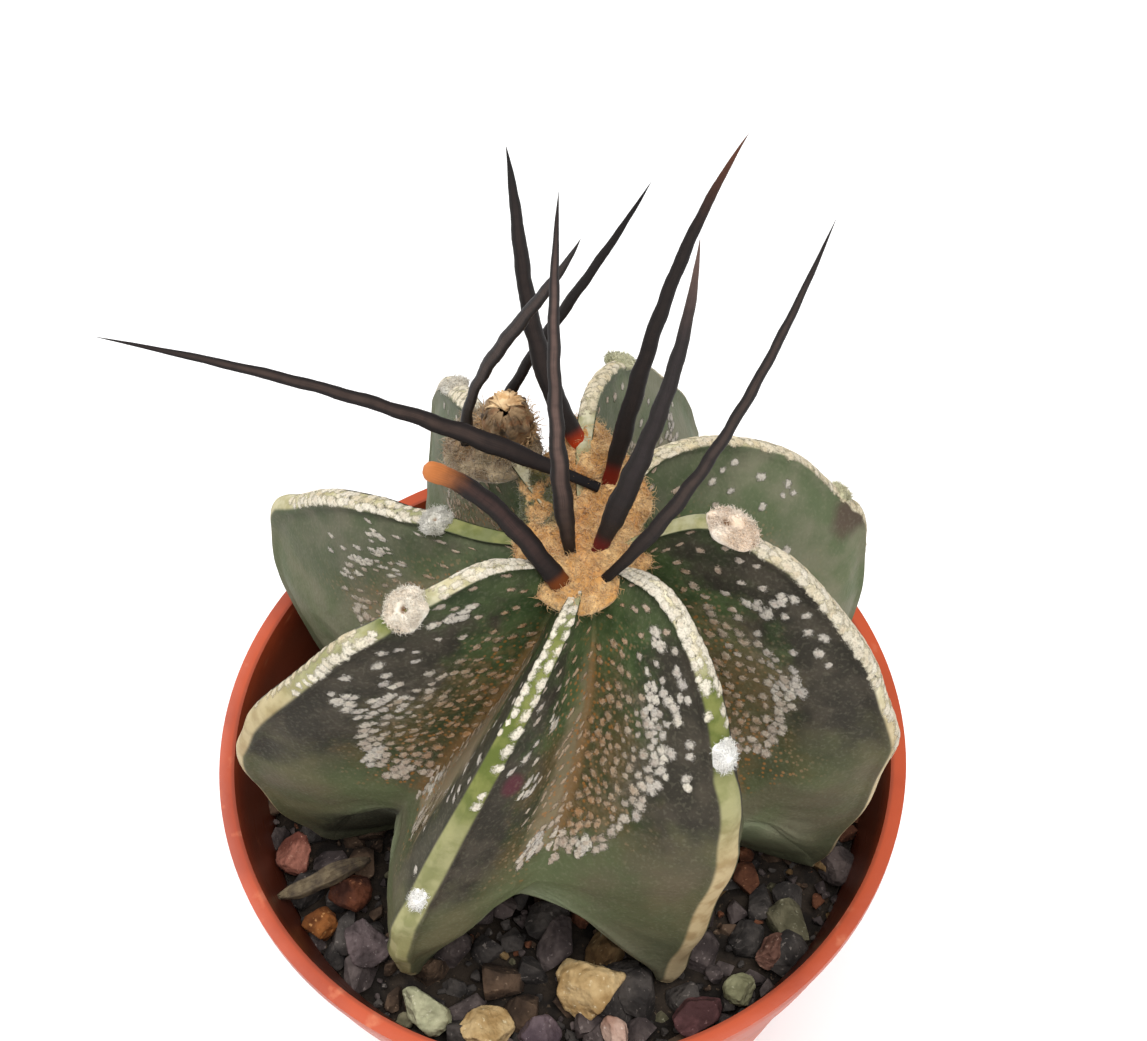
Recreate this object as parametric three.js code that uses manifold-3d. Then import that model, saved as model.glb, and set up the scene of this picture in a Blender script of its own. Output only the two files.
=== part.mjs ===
// Potted goat's horn cactus, in millimetres: a young eight-ribbed ball cactus with long, dark,
// horn-like spines, grown in gritty mix in a small round plastic nursery pot.
// +Z is up. The origin is the centre of the pot's underside, so the pot stands on z = 0.
// Azimuths are degrees from the front (-Y), positive towards the right-hand side (+X).
import * as THREE from "three";
import { mergeVertices } from "three/addons/utils/BufferGeometryUtils.js";
import Module from "manifold-3d";

const wasm = await Module();
wasm.setup();

// Driving dimensions
const POT = {
  height: 48, // underside to rim
  rimRadius: 27.5, // outside of the lip: the pot is sold as 5.5 cm wide
  lip: 1.2, // width of the flat lip
  lipHeight: 1.0,
  lipStand: 0.4, // how far the lip stands out from the band below it
  lipRound: 0.3,
  collar: 7, // height of the flared band below the lip
  flare: 0.6, // how much the band widens up to the lip
  step: 1.0, // how far the band stands out from the wall below it
  baseRadius: 19.5,
  wall: 0.9,
  floor: 1.8,
  corner: 1, // bevel between the wall and the floor, inside
  footRise: 0.8, // how far the floor arches up between its standing faces
  footDisc: 5, // radius of the standing face at the middle
  footRing: [15.2, 18.7], // radii of the standing ring
  drains: { count: 6, radius: 1.9, circle: 10, sides: 12 },
  sides: 48,
};
const GAP = 0.3; // clearance between neighbours that touch on the real plant
const SOIL_DROP = 8.1; // rim down to the bed that the top grit lies on
const GRIT = {
  count: 108,
  inner: 13, // radii of the ring that the grains lie in
  outer: 23.6,
  small: 1.4, // half sizes
  large: 2.2,
  rise: 0.3, // of the half size, over the bed
  settle: 0.4, // how much deeper a grain lies at each try to clear the stem
  stray: 0.3, // radians that a grain lies off its place in the spiral
  chips: [0.75, 1.15], // how far its corners are pushed in or out
};
const STONE_CHIPS = [0.84, 1.12];

// The stem's eight ribs, in order round the plant. Heights are above the rim plane.
// azimuth: of the waist, the rib's widest point; turn: how far the crest winds on up to the crown;
// swing: how far it winds between the waist and the soil; reach: radius at the waist;
// tuck: radius at the soil; lean: how far the furrow after this rib is off the middle.
const RIBS = [
  { azimuth: -35, turn: 26, swing: -4, reach: 23.1, shoulder: 27.8, waist: 6.8, tuck: 20.8, lean: -8 },
  { azimuth: 30, turn: 18, swing: -7, reach: 19.9, shoulder: 30.4, waist: 14.8, tuck: 19.4, lean: 0 },
  { azimuth: 67, turn: 18, swing: 0, reach: 24.2, shoulder: 32.6, waist: 15.7, tuck: 21.7, lean: 0 },
  { azimuth: 112, turn: 44, swing: -8, reach: 24.5, shoulder: 29.2, waist: 15.4, tuck: 21.6, lean: 0 },
  { azimuth: 156, turn: 32, swing: 0, reach: 26.2, shoulder: 33.2, waist: 10.4, tuck: 20.0, lean: 0 },
  { azimuth: 202, turn: 19, swing: 7, reach: 27.0, shoulder: 29.3, waist: 15.0, tuck: 20.4, lean: 0 },
  { azimuth: 236, turn: 12, swing: 7, reach: 29.2, shoulder: 24.6, waist: 11.3, tuck: 18.4, lean: 0 },
  { azimuth: 283, turn: 23, swing: -1, reach: 26.0, shoulder: 31.6, waist: 12.9, tuck: 20.0, lean: 2 },
];
const STEM = {
  axisFoot: [0.2, -0.3], // the stem leans: its middle at the soil, and at the crown
  axisTop: [2.6, -0.2],
  axisTopHeight: 28,
  crown: 26.3, // height of the sunken growing point
  crownBlend: 9, // radius at which the crests have risen to their shoulders
  foot: -7.5, // height of the ribs' lowest points, down among the grit
  crestRise: 0.7, // exponents of the crest's curve: out from the crown,
  crestFall: 1.93, // down to the waist,
  crestTuck: 1.87, // in under it,
  crestUnder: 3, // and on to the neck
  waistRound: 0.2, // how far up and down the waist's bend is rounded, in levels
  furrowCrown: [2.2, 26.0], // radius and height of the furrows at the crown,
  furrowWaist: [15.8, 8.4], // at the waist,
  furrowFoot: [16.2, 6.0], // and where the flanks stop over the soil
  furrowFall: 1.15, // exponents of the furrow's curve: down from the crown,
  furrowUnder: 0.85, // and from its foot to the neck
  furrowTurn: 0.9, // of the turn of the crests beside it
  arch: 2.2, // exponent that arches the flanks' lower edges between a furrow and a crest
  flankBulge: 6.5, // seven times the most that a flank stands out
  crestHalfWidth: 0.7,
  neckRadius: 5.5,
  neckHeight: -12.5,
  rootTip: -24,
  rootTaper: [0.8, 1.4], // share of the neck's radius lost down to the tip, and its exponent
  rows: { crown: 14, side: 7, under: 4, root: 3 }, // of faces, down each stretch
  firstRow: 0.02, // level of the uppermost
  crowding: 1.15, // exponent that sets the upper rows closer
};
const HOLE = {
  radius: STEM.neckRadius + GAP + 0.1,
  below: 1.2, // depth left under the root's tip
  shoulder: 5, // height over the tip from which it is straight
  dish: [[5.9, -13.1], [8.4, -10.8], [10.3, -9.6], [12.7, -8.8], [15.5, -SOIL_DROP]],
  sides: 32,
};
const FLANK = [0.3, 0.6, 0.82, 0.94]; // where a flank has its points, from furrow to crest

// Wool cushions on the crests: which rib, how far along from crown to waist, half sizes
// across the crest, along it and out of it.
const AREOLES = [
  { rib: 0, along: 0.7, size: [0.6, 0.9, 0.5] },
  { rib: 1, along: 0.54, size: [0.95, 1.3, 0.6] },
  { rib: 2, along: 0.17, size: [1.45, 1.9, 0.85] },
  { rib: 3, along: 0.7, size: [0.8, 0.9, 0.5] },
  { rib: 4, along: 0.32, size: [1.1, 1.1, 0.6] },
  { rib: 5, along: 0.46, size: [1.1, 1.1, 0.6] },
  { rib: 6, along: 0.17, size: [1.2, 1.2, 0.6] },
  { rib: 7, along: 0.24, size: [1.5, 1.65, 0.85] },
];
const AREOLE_SINK = 0.35; // share of its half height that lies in the crest
const AREOLE_RISE = 12; // how far up its outward direction points, against its radius

// The woolly crown, as two low pads that run together: the edge all round, and the middle.
const CROWN = [
  {
    middle: [2.0, 1.5, 27.2],
    edge: [
      [1.6, -5.0, 26.2],
      [3.6, -4.5, 26.2],
      [5.3, -3.3, 26.9],
      [6.9, -1.7, 27.3],
      [6.2, 0.6, 27.2],
      [7.2, 2.6, 27.4],
      [6.7, 4.3, 28.2],
      [5.4, 6.3, 29.0],
      [3.9, 8.0, 29.4],
      [1.7, 7.9, 29.0],
      [0.0, 6.9, 28.2],
      [-1.8, 6.0, 28.2],
      [-1.9, 3.4, 26.9],
      [-2.4, 0.9, 26.5],
      [-1.9, -1.8, 26.6],
      [-0.5, -3.9, 26.3],
    ],
  },
  {
    middle: [-3.9, 8.7, 28.3],
    edge: [
      [-2.8, 4.9, 28.2],
      [-0.3, 6.4, 28.3],
      [-0.6, 9.2, 28.0],
      [-2.0, 11.3, 27.7],
      [-4.6, 12.0, 27.2],
      [-6.7, 10.2, 26.8],
      [-7.1, 7.8, 26.8],
      [-5.4, 5.9, 27.5],
    ],
  },
];
const WOOL = { around: 26, dome: 0.75, depth: 2, lumps: 0.3 };

// The spines, each a curve with two handles between where it leaves the wool and its tip. Swell is
// the share by which it is wider, or narrower, in its lower third.
const SPINES = [
  {
    path: [[0.7, -3.0, 27.0], [-1.4, -2.2, 31.2], [-3.6, -0.8, 35.6], [-7.3, -1.5, 38.3]],
    width: 1.45,
    swell: 0,
    broken: true,
  },
  {
    path: [[1.5, -0.9, 27.0], [0.8, -1.4, 37.8], [0.8, -1.1, 49.0], [1.8, -0.7, 60.5]],
    width: 1.1,
    swell: 0.25,
  },
  {
    path: [[-5.3, 8.2, 28.2], [-5.7, 6.5, 37.6], [0.6, 4.0, 46.2], [2.9, 1.5, 54.7]],
    width: 1.15,
    swell: -0.35,
  },
  {
    path: [[3.0, 3.6, 28.6], [-6.8, 4.7, 35.5], [-13.5, 4.1, 40.5], [-26.1, 2.9, 47.0]],
    width: 1.05,
    swell: 0.35,
  },
  {
    path: [[-3.4, 10.2, 27.9], [-0.6, 9.9, 36.3], [3.6, 9.3, 42.9], [7.4, 10.1, 50.5]],
    width: 0.9,
    swell: -0.1,
  },
  {
    path: [[4.3, 3.8, 28.8], [6.3, 4.8, 38.2], [8.3, 7.1, 47.6], [12.6, 7.3, 56.5]],
    width: 1.15,
    swell: 0.15,
  },
  {
    path: [[3.3, -0.8, 27.2], [5.9, -0.7, 36.9], [8.7, -1.6, 45.9], [9.2, -0.5, 56.5]],
    width: 1.3,
    swell: 0.25,
  },
  {
    path: [[3.6, -2.9, 27.0], [9.7, -4.0, 37.7], [13.0, -3.9, 49.0], [15.7, -3.5, 60.5]],
    width: 0.85,
    swell: 0.25,
  },
  {
    path: [[2.7, 5.7, 30.1], [-1.3, 7.3, 38.6], [-0.4, 8.5, 47.2], [-1.1, 8.8, 55.0]],
    width: 1.3,
    swell: 0.15,
  },
];
const SPINE = {
  steps: 10,
  sides: 6,
  thickness: 0.62, // of the width
  root: 1.4, // length sunk in the wool
  narrowing: 0.35, // share of the width lost evenly from the foot up,
  point: 6, // exponent of the narrowing to the point,
  tip: 0.05, // share of the width left at the very point,
  brokenNarrowing: 0.15, // and share lost by a spine that is snapped off
  swellAt: 0.22, // where along it the swell is greatest, and its span
  swellSpan: 0.18,
  face: new THREE.Vector3(0, -0.57, 0.82), // where the flat side looks
};

// The dried flower that clings beside the crown, its mouth tipped towards the front.
const FLOWER = {
  at: [-2.4, 8.3, 29.0], // middle of its foot
  tip: 18, // degrees
  height: 4.6,
  radius: 1.7,
  wall: 0.45,
  petals: { count: 9, radius: 0.42, length: 1.9 },
  sides: 12,
};

// Loose stones on top of the mix: middle, half sizes, turn and colour.
const STONES = {
  cream_stone_large: { at: [1.5, -18.5, -6.3], size: [2.8, 2.6, 2.0], turn: 12, colour: 0xcbb98c },
  cream_stone_small: { at: [-6.6, -21.4, -6.6], size: [2.0, 1.9, 1.6], turn: 40, colour: 0xc9ae7c },
  pale_green_stone: { at: [-11.5, -19.9, -6.5], size: [2.3, 1.5, 1.6], turn: -30, colour: 0xa3ad92 },
  plum_stone_large: { at: [9.4, -21.1, -6.6], size: [2.1, 1.5, 1.6], turn: 25, colour: 0x6a4743 },
  plum_stone_small: { at: [-2.6, -22.0, -6.7], size: [1.7, 1.4, 1.4], turn: -15, colour: 0x6b5560 },
  pink_stone: { at: [3.2, -22.4, -6.4], size: [1.0, 1.5, 1.2], turn: 35, colour: 0xbfa292 },
  rose_stone: { at: [-22.2, -6.6, -6.4], size: [1.5, 1.8, 1.5], turn: 10, colour: 0x8a5a4c },
  brown_stone: { at: [16.0, -16.5, -6.6], size: [1.5, 1.3, 1.3], turn: 50, colour: 0x7a5648 },
  sage_stone: { at: [12.9, -19.4, -6.7], size: [1.3, 1.2, 1.2], turn: 5, colour: 0x8b8f6a },
  grey_stone_front: { at: [-16.2, -14.5, -6.4], size: [2.0, 1.7, 1.5], turn: -40, colour: 0x5e534d },
  grey_stone_right: { at: [21.6, -9.4, -6.9], size: [1.6, 1.5, 1.3], turn: 70, colour: 0x57504c },
  lava_stone: { at: [-17.4, -10.2, -6.2], size: [1.8, 1.6, 1.6], turn: 20, colour: 0x5b3524 },
  rust_stone: { at: [-19.8, -12.4, -6.8], size: [1.2, 1.4, 1.2], turn: -60, colour: 0x7a4a22 },
};
const BARK = { at: [-19.3, -9.6, -4.4], length: 7.5, width: 1.3, thickness: 0.9, turn: 22 };

const COLOURS = {
  pot: 0xc65f36,
  mix: 0x33291f,
  stem: 0x5a6247,
  crown: 0xcfa66c,
  flower: 0x8c6f4b,
  bark: 0x5a4a36,
};

const radians = THREE.MathUtils.degToRad;
const lerp = THREE.MathUtils.lerp;

// A number from 0 to 1 that is always the same for the same seed.
function jitter(seed) {
  const value = Math.sin(seed * 12.9898) * 43758.5453;
  return value - Math.floor(value);
}

// Solids

function indexed(geometry) {
  const bare = new THREE.BufferGeometry();
  bare.setAttribute("position", geometry.getAttribute("position").clone());
  if (geometry.getIndex()) bare.setIndex(geometry.getIndex().clone());
  return mergeVertices(bare, 1e-4);
}

// A closed geometry as a solid, facing out whichever way its faces were wound.
function solid(geometry) {
  const merged = indexed(geometry);
  const corners = merged.index.array;
  const faces = [];
  for (let i = 0; i < corners.length; i += 3) {
    const [a, b, c] = [corners[i], corners[i + 1], corners[i + 2]];
    if (a !== b && b !== c && c !== a) faces.push([a, b, c]);
  }
  const build = (list) =>
    new wasm.Manifold(
      new wasm.Mesh({
        numProp: 3,
        vertProperties: merged.attributes.position.array,
        triVerts: new Uint32Array(list.flat()),
      }),
    );
  const made = build(faces);
  if (made.volume() > 0) return made;
  return build(faces.map(([a, b, c]) => [a, c, b]));
}

// The same closed surface moved out along its own normals, to cut room for a neighbour.
function swollen(geometry, by) {
  const grown = indexed(geometry);
  grown.computeVertexNormals();
  const position = grown.attributes.position;
  const normal = grown.attributes.normal;
  for (let i = 0; i < position.count; i += 1) {
    position.setXYZ(
      i,
      position.getX(i) + by * normal.getX(i),
      position.getY(i) + by * normal.getY(i),
      position.getZ(i) + by * normal.getZ(i),
    );
  }
  return solid(grown);
}

// The biggest body of a solid, without the scraps that a cut can leave.
function largest(made) {
  const bodies = made.decompose();
  return bodies.reduce((best, body) => (body.volume() > best.volume() ? body : best));
}

// Rings of points, one after another, skinned and closed by a top and a bottom point. Each four
// corners are split along their shorter diagonal, which keeps furrows straight.
function ringed(points, around, rows, top, bottom) {
  const faces = [];
  const last = (rows - 1) * around;
  for (let k = 0; k < around; k += 1) {
    const next = (k + 1) % around;
    faces.push(top, k, next);
    for (let row = 0; row < last; row += around) {
      const [a, b, c, d] = [row + k, row + around + k, row + around + next, row + next];
      const split = points[a].distanceTo(points[c]) < points[b].distanceTo(points[d]);
      faces.push(...(split ? [a, b, c, a, c, d] : [a, b, d, b, c, d]));
    }
    faces.push(last + next, last + k, bottom);
  }
  const geometry = new THREE.BufferGeometry().setFromPoints(points);
  geometry.setIndex(faces);
  return geometry;
}

function mesh(name, made, colour, roughness) {
  const { vertProperties, triVerts } = made.getMesh();
  const geometry = new THREE.BufferGeometry();
  geometry.setAttribute("position", new THREE.BufferAttribute(new Float32Array(vertProperties), 3));
  geometry.setIndex(new THREE.BufferAttribute(new Uint32Array(triVerts), 1));
  geometry.computeVertexNormals();
  const material = new THREE.MeshStandardMaterial({ color: colour, roughness, metalness: 0 });
  const made3d = new THREE.Mesh(geometry, material);
  made3d.name = name;
  return made3d;
}

// A profile of [radius, height] pairs turned about +Z.
function turned(profile, sides) {
  const points = profile.map(([radius, height]) => new THREE.Vector2(radius, height));
  return new THREE.LatheGeometry(points, sides).rotateX(Math.PI / 2);
}

// Pot

const bandFoot = POT.height - POT.collar;
const wallTop = POT.rimRadius - POT.lipStand - POT.flare - POT.step;

// Radius of the wall's outside below the band.
function wallRadius(height) {
  return lerp(POT.baseRadius, wallTop, height / bandFoot);
}

// Radius of the pot's inside at any height.
function insideRadius(height) {
  if (height <= bandFoot) return wallRadius(height) - POT.wall;
  const up = (height - bandFoot) / POT.collar;
  return lerp(wallTop - POT.wall, POT.rimRadius - POT.lip, up);
}

function potSolid() {
  const { height, rimRadius, lip, lipHeight, lipStand, lipRound, step } = POT;
  const { floor, corner, footRise, footDisc, footRing } = POT;
  const profile = [
    [0, 0],
    [footDisc, 0],
    [footDisc + footRise, footRise],
    [footRing[0] - footRise, footRise],
    [footRing[0], 0],
    [footRing[1], 0],
    [POT.baseRadius, footRise],
    [wallRadius(bandFoot - step / 2), bandFoot - step / 2],
    [wallTop + step, bandFoot + lipRound],
    [rimRadius - lipStand, height - lipHeight - lipStand],
    [rimRadius, height - lipHeight],
    [rimRadius, height - lipRound],
    [rimRadius - lipRound, height],
    [rimRadius - lip + lipRound, height],
    [rimRadius - lip, height - lipRound],
    [insideRadius(bandFoot), bandFoot],
    [insideRadius(floor + corner), floor + corner],
    [insideRadius(floor) - corner, floor],
    [0, floor],
  ];
  let made = solid(turned(profile, POT.sides));
  const { count, radius, circle, sides } = POT.drains;
  for (let i = 0; i < count; i += 1) {
    const angle = (i * 2 * Math.PI) / count;
    const drain = new THREE.CylinderGeometry(radius, radius, 4 * floor, sides).rotateX(Math.PI / 2);
    drain.translate(circle * Math.cos(angle), circle * Math.sin(angle), 0);
    made = made.subtract(solid(drain));
  }
  return made;
}

// Stem. From here on heights are measured from the rim plane.

// A point of the plant from its azimuth, its radius about the leaning axis and its height.
function plantPoint(azimuth, radius, height) {
  const up = THREE.MathUtils.clamp((height - STEM.foot) / (STEM.axisTopHeight - STEM.foot), 0, 1.2);
  return new THREE.Vector3(
    lerp(STEM.axisFoot[0], STEM.axisTop[0], up) + radius * Math.sin(radians(azimuth)),
    lerp(STEM.axisFoot[1], STEM.axisTop[1], up) - radius * Math.cos(radians(azimuth)),
    height,
  );
}

// Levels run from 0 at the crown to 1 at the waist, 2 at the foot, 3 at the neck, 4 at the root's tip.
function rootPoint(azimuth, level) {
  const down = level - 3;
  const [taper, curve] = STEM.rootTaper;
  const radius = STEM.neckRadius * (1 - taper * down ** curve);
  return plantPoint(azimuth, radius, lerp(STEM.neckHeight, STEM.rootTip, down));
}

// A crest before its waist is rounded off.
function crestCurve(rib, level) {
  if (level <= 1) {
    const swing = (level * Math.PI) / 2;
    const radius = rib.reach * Math.sin(swing) ** STEM.crestRise;
    const fall = lerp(rib.waist, rib.shoulder, Math.cos(swing) ** STEM.crestFall);
    const rise = THREE.MathUtils.smoothstep(radius, 0, STEM.crownBlend);
    const azimuth = rib.azimuth + rib.turn * (1 - radius / rib.reach);
    return plantPoint(azimuth, radius, lerp(STEM.crown, fall, rise));
  }
  if (level <= 2) {
    const swing = ((level - 1) * Math.PI) / 2;
    const radius = lerp(rib.tuck, rib.reach, Math.cos(swing) ** STEM.crestTuck);
    const height = lerp(rib.waist, STEM.foot, Math.sin(swing));
    return plantPoint(rib.azimuth + rib.swing * Math.sin(swing), radius, height);
  }
  const azimuth = rib.azimuth + rib.swing;
  if (level > 3) return rootPoint(azimuth, level);
  const inward = level - 2;
  const height = lerp(STEM.foot, STEM.neckHeight, inward ** STEM.crestUnder);
  return plantPoint(azimuth, lerp(rib.tuck, STEM.neckRadius, inward), height);
}

// A furrow before its waist is rounded off. Wrap is 360 where the next rib starts a new turn.
function furrowCurve(rib, next, wrap, level) {
  const middle = (rib.azimuth + next.azimuth + wrap) / 2 + rib.lean;
  const turn = (rib.turn + next.turn) / 2;
  const swing = (rib.swing + next.swing) / 2;
  const [crownRadius, crownHeight] = STEM.furrowCrown;
  const [waistRadius, waistHeight] = STEM.furrowWaist;
  const [footRadius, footHeight] = STEM.furrowFoot;
  if (level <= 1) {
    const height = lerp(crownHeight, waistHeight, level ** STEM.furrowFall);
    const azimuth = middle + STEM.furrowTurn * turn * (1 - level);
    return plantPoint(azimuth, lerp(crownRadius, waistRadius, level), height);
  }
  if (level <= 2) {
    const down = level - 1;
    const height = lerp(waistHeight, footHeight, down);
    return plantPoint(middle + swing * down, lerp(waistRadius, footRadius, down), height);
  }
  if (level > 3) return rootPoint(middle + swing, level);
  const inward = level - 2;
  const height = lerp(footHeight, STEM.neckHeight, inward ** STEM.furrowUnder);
  return plantPoint(middle + swing, lerp(footRadius, STEM.neckRadius, inward), height);
}

// A point of such a curve, averaged near the waist with those before and after it.
function rounded(curve, level) {
  const near = THREE.MathUtils.smoothstep(level, 0.3, 0.8);
  const reach = STEM.waistRound * near * (1 - THREE.MathUtils.smoothstep(level, 1.6, 1.9));
  const point = curve(level).multiplyScalar(2);
  return point.add(curve(level - reach)).add(curve(level + reach)).multiplyScalar(0.25);
}

function crestPoint(rib, level) {
  return rounded((at) => crestCurve(rib, at), level);
}

// Points from a crest down one flank to the furrow, side +1 being the flank that looks on round.
function flankPoints(rib, crest, furrow, level, side) {
  const winding = rib.turn * Math.max(1 - level, 0) + rib.swing * THREE.MathUtils.clamp(level - 1, 0, 1);
  const azimuth = radians(rib.azimuth + winding);
  const across = new THREE.Vector3(Math.cos(azimuth), Math.sin(azimuth), 0).multiplyScalar(side);
  const body = THREE.MathUtils.smoothstep(level, 0, 0.5) * (1 - THREE.MathUtils.smoothstep(level, 2, 2.8));
  const width = crest.distanceTo(furrow);
  const drop = (furrow.z - crest.z) * THREE.MathUtils.smoothstep(level, 1, 2);
  return FLANK.map((share) => {
    const bulge = share ** 2 * (1 - share) * Math.min(STEM.flankBulge, 0.6 * width) * body;
    const edge = share > 0.9 ? STEM.crestHalfWidth * (0.5 + 0.5 * body) * (level < 3 ? 1 : 0) : 0;
    const point = new THREE.Vector3().lerpVectors(furrow, crest, share).addScaledVector(across, bulge + edge);
    point.z += drop * (share - share ** STEM.arch);
    return point;
  });
}

function stemRing(level) {
  const ring = [];
  RIBS.forEach((rib, i) => {
    const last = i === RIBS.length - 1;
    const next = RIBS[(i + 1) % RIBS.length];
    const crest = crestPoint(rib, level);
    const nextCrest = crestPoint(next, level);
    const furrow = rounded((at) => furrowCurve(rib, next, last ? 360 : 0, at), level);
    ring.push(crest);
    ring.push(...flankPoints(rib, crest, furrow, level, 1).reverse());
    ring.push(furrow);
    ring.push(...flankPoints(next, nextCrest, furrow, level, -1));
  });
  return ring;
}

function stemGeometry() {
  const { crown, side, under, root } = STEM.rows;
  const levels = [];
  for (let i = 0; i <= crown; i += 1) levels.push(lerp(STEM.firstRow, 1, (i / crown) ** STEM.crowding));
  for (let i = 1; i <= side; i += 1) levels.push(1 + i / side);
  for (let i = 1; i <= under; i += 1) levels.push(2 + i / under);
  for (let i = 1; i <= root; i += 1) levels.push(3 + i / root);
  const rings = levels.map(stemRing);
  const around = rings[0].length;
  const points = rings.flat();
  const top = points.push(plantPoint(0, 0, STEM.crown - 0.3)) - 1;
  const bottom = points.push(plantPoint(0, 0, STEM.rootTip - 0.5)) - 1;
  return ringed(points, around, rings.length, top, bottom);
}

// A pad of wool, from its edge up over a low dome and closed below by a shallow cone.
function woolGeometry({ middle, edge }) {
  const { around, dome, depth, lumps } = WOOL;
  const outline = new THREE.CatmullRomCurve3(edge.map((p) => new THREE.Vector3(...p)), true);
  const heart = new THREE.Vector3(...middle);
  const shares = [0.35, 0.7, 0.9, 1, 0.6];
  const points = [];
  shares.forEach((share, row) => {
    for (let k = 0; k < around; k += 1) {
      const point = new THREE.Vector3().lerpVectors(heart, outline.getPoint(k / around), share);
      const under = row === shares.length - 1;
      const lump = share < 1 ? lumps * (jitter(k + 50 * row) - 0.5) : 0;
      point.z += under ? -depth : dome * Math.sqrt(1 - share ** 2) + lump;
      points.push(point);
    }
  });
  const top = points.push(new THREE.Vector3(middle[0], middle[1], middle[2] + dome)) - 1;
  const bottom = points.push(new THREE.Vector3(middle[0], middle[1], middle[2] - depth)) - 1;
  return ringed(points, around, shares.length, top, bottom);
}

// An areole sits on its crest, its long side along it.
function areoleSolid({ rib, along, size }) {
  const here = crestPoint(RIBS[rib], along);
  const ahead = crestPoint(RIBS[rib], along + 0.03).sub(here).normalize();
  const outward = new THREE.Vector3(here.x, here.y, AREOLE_RISE).normalize();
  const across = new THREE.Vector3().crossVectors(ahead, outward).normalize();
  outward.crossVectors(across, ahead);
  const egg = new THREE.IcosahedronGeometry(1, 1).scale(...size);
  egg.applyMatrix4(new THREE.Matrix4().makeBasis(across, ahead, outward));
  here.addScaledVector(outward, -AREOLE_SINK * size[2]);
  return solid(egg.translate(here.x, here.y, here.z));
}

// Crown wool and spines

// A spine is a cylinder of unit length bent along its curve, flattened and drawn to a point.
function spineSolid({ path, width, swell, broken }, spare = 0) {
  const curve = new THREE.CubicBezierCurve3(...path.map((p) => new THREE.Vector3(...p)));
  const length = curve.getLength();
  const rod = new THREE.CylinderGeometry(1, 1, 1, SPINE.sides, SPINE.steps).translate(0, 0.5, 0);
  const position = rod.attributes.position;
  const start = -SPINE.root / length;
  for (let i = 0; i < position.count; i += 1) {
    const along = lerp(start, 1, position.getY(i));
    const inside = Math.max(along, 0);
    const tangent = curve.getTangent(inside);
    const centre = curve.getPoint(inside).addScaledVector(tangent, Math.min(along, 0) * length);
    const across = new THREE.Vector3().crossVectors(tangent, SPINE.face).normalize();
    const facing = new THREE.Vector3().crossVectors(across, tangent);
    const pointed = (1 - SPINE.narrowing * inside) * (1 - inside ** SPINE.point) + SPINE.tip;
    const taper = broken ? 1 - SPINE.brokenNarrowing * inside : pointed;
    const stretch = (inside - SPINE.swellAt) / SPINE.swellSpan;
    const half = (width / 2) * taper * (1 + swell * Math.exp(-(stretch ** 2)));
    centre.addScaledVector(across, (half + spare) * position.getX(i));
    centre.addScaledVector(facing, (half * SPINE.thickness + spare) * position.getZ(i));
    position.setXYZ(i, centre.x, centre.y, centre.z);
  }
  return solid(rod);
}

// Dried flower

// A withered tube, open at its mouth, with the stubs of its petals folded in over the rim.
function flowerSolid(spare = 0) {
  const { height, radius, wall, petals, sides, tip, at } = FLOWER;
  const place = (geometry) => geometry.rotateX(radians(tip)).translate(...at);
  const outside = [
    [0, -spare],
    [0.62 * radius + spare, -spare],
    [radius + spare, 0.32 * height],
    [0.96 * radius + spare, 0.72 * height],
    [0.72 * radius + spare, height + spare],
  ];
  if (spare > 0) return solid(place(turned([...outside, [0, height + spare]], sides)));
  const inside = [
    [0.72 * radius - wall, height],
    [0.9 * radius - wall, 0.6 * height],
    [0, 0.42 * height],
  ];
  let made = solid(place(turned([...outside, ...inside], sides)));
  for (let i = 0; i < petals.count; i += 1) {
    const petal = new THREE.ConeGeometry(petals.radius, petals.length, 4).scale(1, 1, 0.6);
    petal.translate(0, petals.length / 3, 0);
    petal.rotateX(Math.PI / 2 - 0.35 - 0.5 * jitter(i + 40)).translate(0, -0.78 * radius, 0.94 * height);
    petal.rotateZ((i * 2 * Math.PI) / petals.count);
    made = made.add(solid(place(petal)));
  }
  return made;
}

// Mix and stones

// The geometry with each corner pushed in or out by its own seeded share.
function chipped(geometry, seed, [least, most]) {
  const made = indexed(geometry);
  const position = made.attributes.position;
  for (let i = 0; i < position.count; i += 1) {
    const reach = lerp(least, most, jitter(seed * 7.7 + i));
    position.setXYZ(i, position.getX(i) * reach, position.getY(i) * reach, position.getZ(i) * reach);
  }
  return made;
}

function stoneGeometry({ at, size, turn }, seed) {
  const stone = chipped(new THREE.IcosahedronGeometry(1, 1), seed, STONE_CHIPS);
  return stone.scale(...size).rotateZ(radians(turn)).translate(...at);
}

function barkGeometry() {
  const { at, length, width, thickness, turn } = BARK;
  const chip = indexed(new THREE.BoxGeometry(length, width, thickness, 6, 1, 1));
  const position = chip.attributes.position;
  for (let i = 0; i < position.count; i += 1) {
    const x = position.getX(i);
    const end = 1 - 0.7 * Math.abs((2 * x) / length) ** 3;
    position.setXYZ(i, x, position.getY(i) * end, position.getZ(i) * end + 0.2 * Math.sin(x * 0.9));
  }
  return chip.rotateZ(radians(turn)).translate(...at);
}

// The room inside the pot, less the clearance to its wall.
function potRoom() {
  const heights = [POT.floor + GAP, POT.floor + POT.corner + GAP, bandFoot, POT.height];
  const inset = [POT.corner + GAP, GAP, GAP, GAP];
  const wall = heights.map((height, i) => [insideRadius(height) - inset[i], height]);
  const profile = [[0, heights[0]], ...wall, [0, POT.height]];
  return solid(turned(profile, POT.sides).translate(0, 0, -POT.height));
}

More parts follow.
